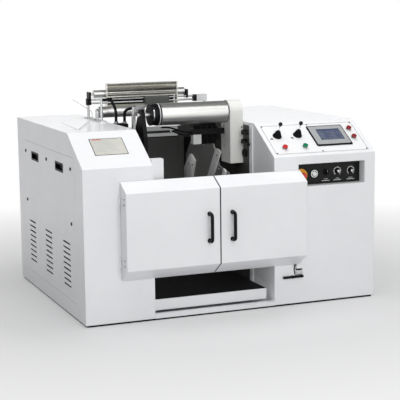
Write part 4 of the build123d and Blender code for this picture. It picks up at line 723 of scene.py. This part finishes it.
def joined_outlines(first, last):
    """A bmesh with two like outlines as its ends and flat sides between them."""
    bm = bmesh.new()
    ends = [[bm.verts.new(place) for place in outline] for outline in (first, last)]
    bm.faces.new(ends[0])
    bm.faces.new(ends[1])
    count = len(first)
    for i in range(count):
        after = (i + 1) % count
        bm.faces.new((ends[0][i], ends[0][after], ends[1][after], ends[1][i]))
    return bm


def prism_piece(name, outline, x0, x1, material, body, bevel=0):
    """A piece with one outline in depth and height, from x0 to x1."""
    bm = joined_outlines(*([spot(x, y, z) for y, z in outline] for x in (x0, x1)))
    if bevel:
        bmesh.ops.bevel(bm, geom=list(bm.edges), offset=bevel * MM, segments=3, profile=0.5, affect="EDGES")
    return place_piece(name, mesh_of(name, bm, 50), material, body)


def ball_profile(radius, middle, start=0, steps=18):
    """The profile of a ball, from an angle above its lowest point."""
    return [(radius * math.sin(start + (math.pi - start) * i / steps),
             middle - radius * math.cos(start + (math.pi - start) * i / steps)) for i in range(steps + 1)]


# Console plate: border line, screws, marks and screen
slope_blocks("console_border", [
    (1696, 338.2, 692, 2.2, 1.95, 0.3), (1696, 29.8, 692, 2.2, 1.95, 0.3),
    (1350.9, 184, 2.2, 310, 1.95, 0.3), (2041.1, 184, 2.2, 310, 1.95, 0.3)],
    DARK_LINE)
screws("console_screws", [(slope_spot(x, along, 2.6), SLOPE_OUT) for x in (1359, 1697, 2033)
                          for along in (39, 331)], 4.8, 2.4, "frame", BLACK_PLASTIC, "black_plastic")
for number, x in enumerate((1380, 1533), start=1):
    name = f"joystick_mark_{number}"
    bm = joined_outlines(*([slope_spot(x + 11 * c, 196 + 9 * s, out) for c, s in circle(32)]
                           for out in (1.95, 2.25)))
    place_piece(name, mesh_of(name, bm), MARK_GREY, "frame")

finished_copy("screen_frame", BLACK_PLASTIC)
slope_blocks("screen_surround", [(1710, 198, 46, 198, 10.9, 0.7), (1927, 198, 30, 198, 10.9, 0.7),
                                 (1822.5, 280, 180, 34, 10.9, 0.7), (1822.5, 121, 180, 44, 10.9, 0.7)],
             SCREEN_FACE)
SCREEN_LOW = 10.1
slope_blocks("screen_header", [(1822.5, 256, 172, 9, SCREEN_LOW, 0.25)], SCREEN_BLUE)
slope_blocks("screen_keys", [(1758 + 21.5 * i, 152.5, 17, 9.5, SCREEN_LOW, 0.3) for i in range(7)],
             SCREEN_PALE)
slope_blocks("screen_fields", [(1778 + 88 * i, 236 - 16.5 * j, 78, 10, SCREEN_LOW, 0.25)
                               for i in range(2) for j in range(5)], SCREEN_PALE)
slope_blocks("screen_values", [(1792 + 88 * i, 236 - 16.5 * j, 34, 6, SCREEN_LOW + 0.2, 0.25)
                               for i in range(2) for j in range(5)], SCREEN_BLUE)
screws("screen_screws", [(slope_spot(x, along, 11.7), SLOPE_OUT) for x in (1695, 1935)
                         for along in (102, 294)], 2.4, 1.4, "frame", BLACK_PLASTIC, "black_plastic")

# Push buttons with wide caps and their collars
for name, x, along, finish, cap_slot in (
        ("red_button", 1431, 86, RED_CAP, "red_cap"), ("green_button", 1582, 87, GREEN_CAP, "green_cap"),
        ("upper_button", 1990, 255, DARK_RED_CAP, "dark_red_cap"),
        ("lower_button", 1987, 160, DARK_RED_CAP, "dark_red_cap")):
    cap = turned_piece(f"{name}_cap", slope_spot(x, along), SLOPE_OUT, [
        (0, -8), (8, -8), (8, 9), (11.6, 9), (11.6, 15.4), (16.6, 15.6), (17.4, 16.6), (17.4, 24.6),
        (16.2, 26.4), (13.5, 27.2), (0, 27.6)], finish, name, 48)
    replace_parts(cap, name)
    turned_ring(f"{name}_ring", slope_spot(x, along), SLOPE_OUT, ring_profile(12.2, 18.2, 2, 11.2, 0.8),
                TURNED_STEEL, "frame", 48)

# Joysticks with their folded boots
for number, (x, along) in enumerate(((1430, 222), (1583, 222)), start=1):
    body = f"joystick_{number}"
    foot = slope_spot(x, along)
    ball = turned_piece(f"{body}_ball", foot, SLOPE_OUT,
                        [(0, 88), (6.5, 88), (6.5, 90.5)] + ball_profile(14, 104, 0.5), BLACK_GLOSS,
                        body, 48, 60)
    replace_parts(ball, body)
    turned_piece(f"{body}_stick", foot, SLOPE_OUT, [(0, 6), (4, 6), (4, 80), (5.6, 80), (5.6, 88.5),
                                                    (0, 88.5)], BRIGHT_CHROME, body, 32)
    turned_piece(f"{body}_pivot", foot, SLOPE_OUT, ball_profile(8, 0), TURNED_STEEL, body,
                 24, 60)
    outer = [(31, 2), (31.5, 3), (31.5, 5.5), (30.5, 7)]
    inner = [(27.5, 2), (27.5, 6)]
    for fold in range(5):
        base = 7 + fold * 7.2
        crest = 28.5 - fold * 2.9
        outer += [(crest - 4.2, base + 0.8), (crest - 1, base + 2), (crest, base + 3.6),
                  (crest - 1, base + 5.2), (crest - 4.2, base + 6.6)]
        inner += [(crest - 6.2, base + 1.4), (crest - 2.4, base + 3.6), (crest - 6.2, base + 6.2)]
    outer += [(9, 44.5), (8.6, 52), (7, 53), (4.1, 53)]
    inner += [(4.1, 45)]
    section = outer + inner[::-1] + [outer[0]]
    boot = turned_ring(f"{body}_boot", foot, SLOPE_OUT, section, BLACK_RUBBER, None, 40)
    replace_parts(boot, "joystick_boots")
    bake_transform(boot)

# Instruction plate on the left slope, with plain lines for its rows
slope_blocks("plate_border", [(235.5, 216.5, 224, 172, 0.05, 0.7)], BLACK_PLASTIC)
slope_blocks("plate_face", [(235.5, 216.5, 216, 164, 0.6, 0.5)], CREAM_PLATE)
rows = [(200 + 18 * (i % 2), 276 - 13.5 * i, 118 + 30 * ((i * 5) % 3) / 2, 3, 1, 0.22)
        for i in range(9)]
slope_blocks("plate_rows", rows, GREY_PLASTIC)
slope_blocks("plate_bar", [(172, 290, 66, 7.5, 1, 0.25)], RED_CAP)
slope_blocks("plate_heading", [(262, 290, 92, 6, 1, 0.25)], GREY_PLASTIC)
screws("plate_screws", [(slope_spot(x, along, 1.2), SLOPE_OUT) for x in (130.5, 340.5)
                        for along in (138, 295)], 2.3, 1.2, "frame")

# Instruments in the recess
head = [(0, 0), (14, 0.4), (21, 2), (25, 5), (26.5, 9), (26.5, 12), (24.8, 15), (18.2, 16.4),
        (18, 38), (0, 38)]
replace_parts(turned_piece("stop_button_head", spot(1552, 26, 856), REAR, head, RED_CAP, "stop_button",
                         64), "stop_button")
turned_ring("stop_button_ring", spot(1552, FACE_Y, 856), FRONT, ring_profile(19, 48, 0, 1.6),
            YELLOW_PLATE, "frame", 64)
turned_ring("stop_button_collar", spot(1552, FACE_Y - 1.5, 856), FRONT, ring_profile(18.6, 22, 0, 5),
            BLACK_PLASTIC, "frame", 48)
for name, inner, outer, low, high in (("outer", 20.5, 26, 2.5, 4.4), ("inner", 12.5, 16.5, 2.6, 6.5)):
    turned_ring(f"key_ring_{name}", spot(1652, FACE_Y, 865), FRONT, ring_profile(inner, outer, low, high),
                BRIGHT_CHROME, "frame", 64)
turned_ring("selector_ring", spot(1740, FACE_Y, 872), FRONT, ring_profile(17.6, 22, 0, 3),
            BLACK_PLASTIC, "frame", 48)
blocks_piece("selector_line", [(1739.2, 1740.8, 45.7, 46.3, 874, 887)], WHITE_INK, "selector_knob",
             0.1)
grown_piece("speed_dial_marks", [(spot(x, FACE_Y - 0.2, z), FRONT) for x, z in SPEED_DIALS],
            DIAL_MARKS, "frame", "black_gloss", Radius=31 * MM, Marks=11, Stroke_Length=4.5 * MM,
            Stroke_Width=1.2 * MM, Ink=WHITE_INK)
grown_piece("speed_dial_arcs", [(spot(x, FACE_Y - 0.2, z), FRONT) for x, z in SPEED_DIALS],
            DIAL_MARKS, "frame", "black_gloss", Radius=25.5 * MM, Marks=51, Stroke_Length=3.4 * MM,
            Stroke_Width=2.4 * MM, Ink=WHITE_INK)
label_lines = []
for x in (1740, 1828, 1931):
    label_lines += [(x - 15, x + 15, FACE_Y - 0.4, FACE_Y + 0.2, 822, 825),
                    (x - 30, x + 30, FACE_Y - 0.4, FACE_Y + 0.2, 811, 814.5)]
blocks_piece("instrument_label_lines", label_lines, WHITE_INK, "frame", 0)
for number, (x, z) in enumerate(SPEED_DIALS, start=1):
    body = f"speed_knob_{number}"
    cap = [(0, -0.2), (9.6, -0.2), (9.6, 0.8), (8.8, 1.3), (0, 1.5)]
    turned_piece(f"{body}_cap", spot(x, 50.3, z), FRONT, cap, SATIN_ALUMINIUM, body, 40)
    blocks_piece(f"{body}_line", [(x - 0.7, x + 0.7, 48.5, 49.1, z + 1, z + 9)], WHITE_INK, body,
                 0.1)
    turned_ring(f"{body}_skirt", spot(x, 71.6, z), FRONT, ring_profile(13.8, 16.5, 0, 4), BLACK_PLASTIC,
                body, 48)
screws("instrument_screws", [(spot(x, FACE_Y - 0.6, z), FRONT) for x in (1506, 1992) for z in (802, 936)],
       2.8, 1.6, "frame", BLACK_PLASTIC, "black_plastic")

# Doors: the strip in the seam, hinge screws and the latch
front_line = [(-1, 269.4), (-115.9, 349.6), (-115.9, 846.5), (-1, 908.6)]
back_line = [(-1, 907.8), (-115.1, 846), (-115.1, 350.1), (-1, 270.4)]
prism_piece("door_seam_lip", front_line + back_line, 878.6, 886.3, BLACK_RUBBER, "left_door")
inner_line = [(-2, 899), (-107, 841.5), (-107, 355), (-2, 281)]
prism_piece("door_seam_strip", back_line[::-1] + inner_line, 883.6, 886.3, BLACK_RUBBER, "left_door")
hinge_places = [(-30, 808), (-80, 806), (-24, 771), (-76, 770), (-26, 411), (-72, 413),
                (-22, 377), (-68, 377)]
screws("left_hinge_screws", [(spot(244.8, y, z), LEFT_SIDE) for y, z in hinge_places], 5, 3, "left_door",
       CAST_IRON, "white_enamel")
screws("right_hinge_screws", [(spot(1505.2, y, z), RIGHT_SIDE) for y, z in hinge_places], 5, 3, "right_door",
       CAST_IRON, "white_enamel")
screws("latch_screws", [(spot(x, -4.6, z), FRONT) for x in (1467, 1522) for z in (196, 233)], 4.6, 2.8,
       "frame", TURNED_STEEL)
turned_piece("latch_hub_cap", spot(1449, -16, 185), FRONT, [(0, -1), (8.6, -1), (8.6, 1.4), (7.4, 2.4),
                                                                 (0, 2.8)], BLACK_ENAMEL, "latch_lever",
             32)
for side, x in (("left", 805), ("right", 965)):
    screws(f"{side}_handle_screws", [(spot(x, -121.4, z), FRONT) for z in (495, 693)], 2.6, 1.4,
           f"{side}_door", BRIGHT_CHROME, "black_plastic")

# Measuring roller: painted discs, end line and hub screws
finished_copy("roller_discs", BLACK_ENAMEL, 0, (
    (BRIGHT_CHROME, lambda c: 664 < across_mm(c) < 672),))
turned_ring("roller_disc_line", spot(709, ROLLER_Y, ROLLER_Z), RIGHT_SIDE,
            ring_profile(70, 76.6, 0, 5.5, 0.3), WHITE_ENAMEL, "measuring_roller", 96)
turned_ring("roller_end_line", spot(1213.4, ROLLER_Y, ROLLER_Z), LEFT_SIDE, ring_profile(70, 76.4, 0, 3, 0.3),
            BLACK_ENAMEL, "measuring_roller", 96)
screws("roller_disc_screws", [(spot(655.4, ROLLER_Y + 46 * c, ROLLER_Z + 46 * s), LEFT_SIDE)
                              for c, s in circle(6, 0.3)], 4, 2.6, "measuring_roller", BLACK_PLASTIC)
turned_ring("left_arm_collar", spot(613.2, ROLLER_Y, ROLLER_Z), LEFT_SIDE, ring_profile(15.4, 30, -9, 0),
            WHITE_ENAMEL, "measuring_roller", 48)
screws("left_arm_screws", [(spot(584.4, y, z), LEFT_SIDE) for y, z in ((545, 790), (680, 790),
                                                                      (545, 960), (680, 960))],
       6, 4, "frame", TURNED_STEEL, "dark_enamel")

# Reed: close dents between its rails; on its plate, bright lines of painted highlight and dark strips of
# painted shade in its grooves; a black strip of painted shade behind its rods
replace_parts(blocks_piece("reed_rails", [(568, 1119, 1288, 1297, z, z + 9) for z in (1212, 1278)],
                         TURNED_STEEL, "reed"), "reed_comb")
grown_piece("reed_dents", [(spot(570, 1292.5, 1249.5), FRONT)], WIRE_ROW, "reed", "machined_steel", Count=220,
            Pitch=2.5 * MM, Height=60 * MM, Width=1.4 * MM, Depth=6 * MM, Metal=CAST_IRON)
# Bright lines on the reed plate: painted highlights along its grooves.
blocks_piece("reed_lines", [(577, 1110, 1249, 1250.6, z, z + h)
                            for z, h in ((1347, 3), (1379, 4), (1443, 3))],
             PALE_METAL_AND_HIGHLIGHT, "reed", 0.2)
# Dark strips in the plate's grooves: painted shade.
blocks_piece("reed_grooves", [(577, 1110, 1249.6, 1250.6, z, z + h) for z, h in ((1354, 4), (1371, 6))],
             CAST_IRON, "reed", 0)
# A black strip behind the guide rods: painted shade between them.
blocks_piece("reed_back_strip", [(577, 1110, 1298, 1299.5, 1290, 1345)], BLACK_ENAMEL, "reed",
             0)
screws("reed_plate_screws", [(spot(x, 1249.6, 1385), FRONT) for x in (592, 760, 928, 1096)],
       4, 2.4, "reed")

# Cover beside the roller: its screws and a dark backing in its slot
screws("cover_front_screws", [(spot(1306, 493.8, z), FRONT) for z in (1162, 1065)], 5.2, 3, "frame",
       BLACK_ENAMEL, "beige_enamel")
screws("cover_side_screws", [(spot(1219.4, 605, z), LEFT_SIDE) for z in (1025, 1165)], 4.6, 3, "frame",
       BLACK_ENAMEL, "beige_enamel")
# A black backing in the cover's slot: painted shade inside the opening.
blocks_piece("cover_slot_backing", [(1224.5, 1227, 500, 548, 960, 988)], BLACK_ENAMEL, "frame",
             0)

# Recessed black rails between the feet: a dark underbody that paints the shade under the machine
blocks_piece("plinth_rails", [(20, 2060, 8, 40, -11.6, 0.5), (20, 2060, 1605, 1637, -11.6, 0.5),
                              (8, 40, 20, 1625, -11.6, 0.5), (2040, 2072, 20, 1625, -11.6, 0.5)],
             BLACK_ENAMEL, "frame", 0.5)

# Toggle latch: body with its backing, and the hooked bracket
blocks_piece("latch_body", [(1468, 1521, -13, -3.8, 200, 229), (1474, 1515, -19, -12, 206, 222)],
             TURNED_STEEL, "frame", 1.2)
blocks_piece("latch_backing", [(1463.5, 1525, -4.8, -3.6, 195.5, 238)], BLACK_ENAMEL, "frame",
             0.3)
blocks_piece("latch_keeper", [(1464, 1476, -14, -0.5, 233, 256), (1463, 1481, -5, -0.5, 257.5, 268)],
             BLACK_ENAMEL, "frame", 1)
tube_piece("latch_hook", [spot(1470, -15, 262), spot(1467, -16.5, 248), spot(1466, -16.5, 228),
                          spot(1468, -14, 216), spot(1476, -12, 212)], 2.4, TURNED_STEEL, "frame")

# Bay: grey crossbars with a dark end, pale links on the headstock plate
# The crossbars at the back of the bay take this darker grey, partly painted shade over the frame's white.
finished_copy("base_frame", WHITE_ENAMEL, 0, (
    (BAR_SHADED_ENAMEL, lambda c: height_mm(c) > 1036 and (c.y - CORNER.y) / MM > 1290),))
finished_copy("headstock_plate", PLATE_GREY, 1, ((LINK_ENAMEL, lambda c: across_mm(c) < 1191),))
rear_link = [(1072, 866), (1126, 896), (1146, 909), (1182, 909), (1222, 870), (1296, 798),
             (1296, 700), (1146, 700)]
prism_piece("rear_link_plate", rear_link, 1184.5, 1195.6, LINK_ENAMEL, "frame", 1.5)
middle_link = [(597, 984), (636, 999), (680, 1000), (699, 979), (873, 740), (769, 740)]
prism_piece("middle_link_plate", middle_link, 1184.5, 1195.6, LINK_ENAMEL, "frame", 1.5)
screws("link_screws", [(spot(1184, y, z), LEFT_SIDE) for y, z in (
    (1120, 835), (1200, 835), (1250, 740), (650, 955), (812, 765), (620, 860), (1030, 880),
    (900, 1000), (1100, 1010))], 7, 5, "frame", TURNED_STEEL, "cast_frame")
# Near-black strips between the crossbars and a near-black plate at the bay's back corner: painted shade.
blocks_piece("bay_gap_strips", [(469, 1319, 1314, 1316, 1024, 1038),
                                (469, 1319, 1314, 1316, 1058, 1082),
                                (1160, 1319, 1304.5, 1306.5, 1112.2, 1186)],
             SHADOW_ENAMEL, "frame", 0)
blocks_piece("bay_corner_post", [(1184.3, 1318, 1297, 1299.8, 1030, 1186)], SHADOW_ENAMEL, "frame",
             0)

# Yarn guides on the monitor's bar: drop wires, two bent guide rods with their eyes, and the monitor box
grown_piece("drop_wires", [(spot(1062, y, 1094), FRONT) for y in (606, 620, 634)], WIRE_ROW, "frame",
            "black_plastic", Count=16, Pitch=9 * MM, Height=60 * MM, Width=1.6 * MM, Depth=1.6 * MM,
            Metal=BLACK_ENAMEL)
tube_piece("guide_rod_upper", [spot(985, 612, 1132), spot(930, 612, 1130), spot(880, 640, 1150),
                               spot(820, 660, 1172), spot(770, 664, 1168)], 6, BLACK_RUBBER, "frame")
tube_piece("guide_rod_lower", [spot(985, 628, 1122), spot(940, 628, 1110), spot(900, 650, 1120),
                               spot(850, 668, 1142)], 5, BLACK_RUBBER, "frame")
for number, (x, y, z) in enumerate(((770, 664, 1168), (850, 668, 1142)), start=1):
    turned_ring(f"yarn_eye_{number}", spot(x, y, z), FRONT, ring_profile(5.5, 9.5, -4, 4, 1), WHITE_ENAMEL,
                "frame", 32)
finished_copy("yarn_monitor", BLACK_PLASTIC, 1.2, (
    (PALE_PLASTIC, lambda c: across_mm(c) < 1046 and height_mm(c) < 1113),))

# Reed carriage in dark grey, pale cheeks at the reed's ends
finished_copy("reed_carriage", CARRIAGE_GREY, 1, ())
finished_copy("reed_plate", ANODISED, 0, ((PALE_METAL_AND_HIGHLIGHT, lambda c: not 575.4 < across_mm(c) < 1111.6),))

# Hose nuts on the port block, screws of the chucks
for number, (x, y) in enumerate(((512, 862), (566, 838)), start=1):
    turned_ring(f"hose_nut_{number}", spot(x, y, 1191.6), UP, ring_profile(10.3, 15.5, 0, 15, 1.2),
                TURNED_STEEL, "frame", 6)
for name, body, x, radius, way in (("head_chuck_screws", "head_spindle", 1160, 66, LEFT_SIDE),
                                   ("tail_chuck_screws", "tail_chuck", 640, 60, RIGHT_SIDE)):
    screws(name, [(spot(x, BEAM_Y + radius * c, BEAM_Z + radius * s), way) for c, s in circle(8, 0.2)],
           4.6, 3.4, body, TURNED_STEEL)

# Bay: a black strip of painted shade beside the headstock plate, and the thread guides' dark bank under the
# roller
blocks_piece("bay_dark_edge", [(1186, 1262, 1296.4, 1298.6, 20, 1024)], BLACK_ENAMEL, "frame",
             0)
bank = [(1010 + 13 * i, 1019 + 13 * i, 618, 640, 1052 + 17 * (i % 3), 1096) for i in range(12)]
bank += [(1052, 1172, 640, 648, 1040, 1186), (980, 1172, 622, 634, 1136, 1146),
         (1004, 1056, 642, 647, 1144, 1176)]
blocks_piece("guide_bank", bank, BLACK_RUBBER, "frame", 0.8)
slim_link = [(506, 852), (519, 866), (549, 874), (557, 868), (595, 746), (543, 731)]
prism_piece("front_link_plate", slim_link, 1184.5, 1195.6, LINK_ENAMEL, "frame", 1.5)

# Back of the cabinets: seams of the two removable panels, their screws, vent slots drawn as black strips of
# painted shade, cable glands
for side, low_x, high_x in (("left", 42, 426), ("right", 1362, 2038)):
    seams = [(low_x, high_x, REAR_FACE - 0.4, REAR_FACE + 0.4, z, z + 2.2) for z in (110, 1040)]
    seams += [(x, x + 2.2, REAR_FACE - 0.4, REAR_FACE + 0.4, 110, 1042.2) for x in (low_x, high_x - 2.2)]
    blocks_piece(f"{side}_back_seams", seams, SHADOW_ENAMEL, "frame", 0)
    middle = (low_x + high_x) / 2
    # Vent slots as black strips: painted shade inside the openings.
    vent_shades = [(middle - 80, middle + 80, REAR_FACE - 0.4, REAR_FACE + 0.5, z, z + 9)
             for z in range(180, 420, 26)]
    blocks_piece(f"{side}_back_vents", vent_shades, BLACK_ENAMEL, "frame", 0.2)
    screws(f"{side}_back_screws", [(spot(x, REAR_FACE, z), REAR) for x in (low_x + 18, middle, high_x - 18)
                                   for z in (128, 575, 1024)], 6, 2, "frame")
for number, x in enumerate((1430, 1490), start=1):
    turned_ring(f"cable_gland_{number}", spot(x, REAR_FACE, 66), REAR, ring_profile(9, 19, 0, 2.6, 0.8),
                BLACK_PLASTIC, "frame", 6)
    turned_piece(f"cable_gland_plug_{number}", spot(x, REAR_FACE, 66), REAR,
                 [(0, -1), (9.4, -1), (9.4, 2), (8, 2.4), (0, 2.6)], BLACK_RUBBER, "frame",
                 24)


# Floor, light and camera
FLOOR_HALF = 40.0
CAMERA_SPOT = spot(-2153.0, -7277.0, 1993.0)
CAMERA_YAW = math.radians(22.0)
CAMERA_PITCH = math.radians(8.96)
CAMERA_ROLL = math.radians(-0.69)
PHOTO_WIDTH = 400.0
FOCAL_PIXELS = 1228.5
SENSOR = 36.0
WHITE = (1.0, 1.0, 1.0, 1.0)


def seen_directly(tree):
    """A mask for what the camera sees, also in mirrors and through glass."""
    rays = tree.nodes.new("ShaderNodeLightPath").outputs
    seen = maths(tree, "ADD", rays["Is Camera Ray"], rays["Is Glossy Ray"], clamp=True)
    return maths(tree, "ADD", seen, rays["Is Transmission Ray"], clamp=True)


def mix_shaders(tree, amount, first, second, target):
    """Mixes two shaders by an amount and gives the result to an output node."""
    mix = tree.nodes.new("ShaderNodeMixShader")
    tree.links.new(amount, mix.inputs["Fac"])
    tree.links.new(first, mix.inputs[1])
    tree.links.new(second, mix.inputs[2])
    tree.links.new(mix.outputs[0], tree.nodes[target].inputs["Surface"])


def floor_material():
    """A pale floor that keeps the machine's soft shadow and fades to white with distance."""
    material, tree, shader, place = start_material("studio_floor")
    feed_all(tree, shader, Base_Color=(0.60, 0.60, 0.605, 1.0), Roughness=0.65)
    bump(tree, shader, noise_of(tree, place, 30.0), 0.02, 0.001)
    glow = node_of(tree, "ShaderNodeEmission", Color=WHITE)
    distance = tree.nodes.new("ShaderNodeVectorMath")
    distance.operation = "LENGTH"
    tree.links.new(place, distance.inputs[0])
    faded = ranged(tree, distance.outputs["Value"], 1.6, 4.2, 0.28, 1.0)
    mix_shaders(tree, maths(tree, "MULTIPLY", faded, seen_directly(tree)), shader.outputs["BSDF"], glow,
                "Material Output")
    return material


floor_mesh = bpy.data.meshes.new("floor")
corners = [(x * FLOOR_HALF, y * FLOOR_HALF, 0.0) for x, y in ((-1, -1), (1, -1), (1, 1), (-1, 1))]
floor_mesh.from_pydata(corners, [], [(0, 1, 2, 3)])
floor = linked("floor", floor_mesh)
floor_mesh.materials.append(floor_material())

world = bpy.data.worlds.new("studio")
bpy.context.scene.world = world
world.use_nodes = True
sky = world.node_tree
ambient = sky.nodes["Background"]
feed_all(sky, ambient, Color=(0.96, 0.98, 1.0, 1.0), Strength=0.33)
white = node_of(sky, "ShaderNodeBackground", Color=WHITE, Strength=1.0)
mix_shaders(sky, seen_directly(sky), ambient.outputs[0], white, "World Output")


def softbox(name, place, target, size, power):
    """A large soft lamp that looks at a place on the machine."""
    lamp = bpy.data.lights.new(name, "AREA")
    lamp.shape = "RECTANGLE"
    lamp.size, lamp.size_y = size
    lamp.energy = power
    holder = linked(name, lamp)
    holder.location = place
    holder.rotation_euler = (Vector(target) - Vector(place)).to_track_quat("-Z", "Y").to_euler()


softbox("top_light", (0.2, -0.6, 5.2), (0.0, 0.1, 0.8), (5.5, 4.5), 188.0)
softbox("front_light", (-0.6, -6.2, 3.0), (0.0, 0.0, 0.6), (3.0, 3.0), 138.0)


def dark_card(name, low, high, shade):
    """A dark sheet that only mirrors can see, so that chrome and gloss show a room."""
    mesh = bpy.data.meshes.new(name)
    mesh.from_pydata([(low[0], low[1], low[2]), (high[0], low[1], low[2]), (high[0], high[1], high[2]),
                      (low[0], high[1], high[2])], [], [(0, 1, 2, 3)])
    material, tree, shader, _ = start_material(name)
    feed_all(tree, shader, Base_Color=(shade, shade, shade, 1.0), Roughness=0.9)
    mesh.materials.append(material)
    card = linked(name, mesh)
    card.visible_camera = False
    card.visible_diffuse = False
    card.visible_shadow = False
    card.visible_transmission = False


dark_card("ceiling_card", (-6.0, -1.6, 4.2), (6.0, 5.5, 3.2), 0.05)

camera_data = bpy.data.cameras.new("camera")
camera_data.sensor_width = SENSOR
camera_data.lens = FOCAL_PIXELS / PHOTO_WIDTH * SENSOR
camera_data.clip_end = 200.0
camera = linked("camera", camera_data)
looking = Vector((math.sin(CAMERA_YAW) * math.cos(CAMERA_PITCH),
                  math.cos(CAMERA_YAW) * math.cos(CAMERA_PITCH), -math.sin(CAMERA_PITCH)))
level = Vector((math.cos(CAMERA_YAW), -math.sin(CAMERA_YAW), 0.0))
head_up = level.cross(looking)
right = level * math.cos(CAMERA_ROLL) + head_up * math.sin(CAMERA_ROLL)
top = head_up * math.cos(CAMERA_ROLL) - level * math.sin(CAMERA_ROLL)
axes = Matrix((right, top, -looking)).transposed()
camera.matrix_world = Matrix.Translation(CAMERA_SPOT) @ axes.to_4x4()
bpy.context.scene.camera = camera
bpy.context.scene.view_settings.view_transform = "Standard"
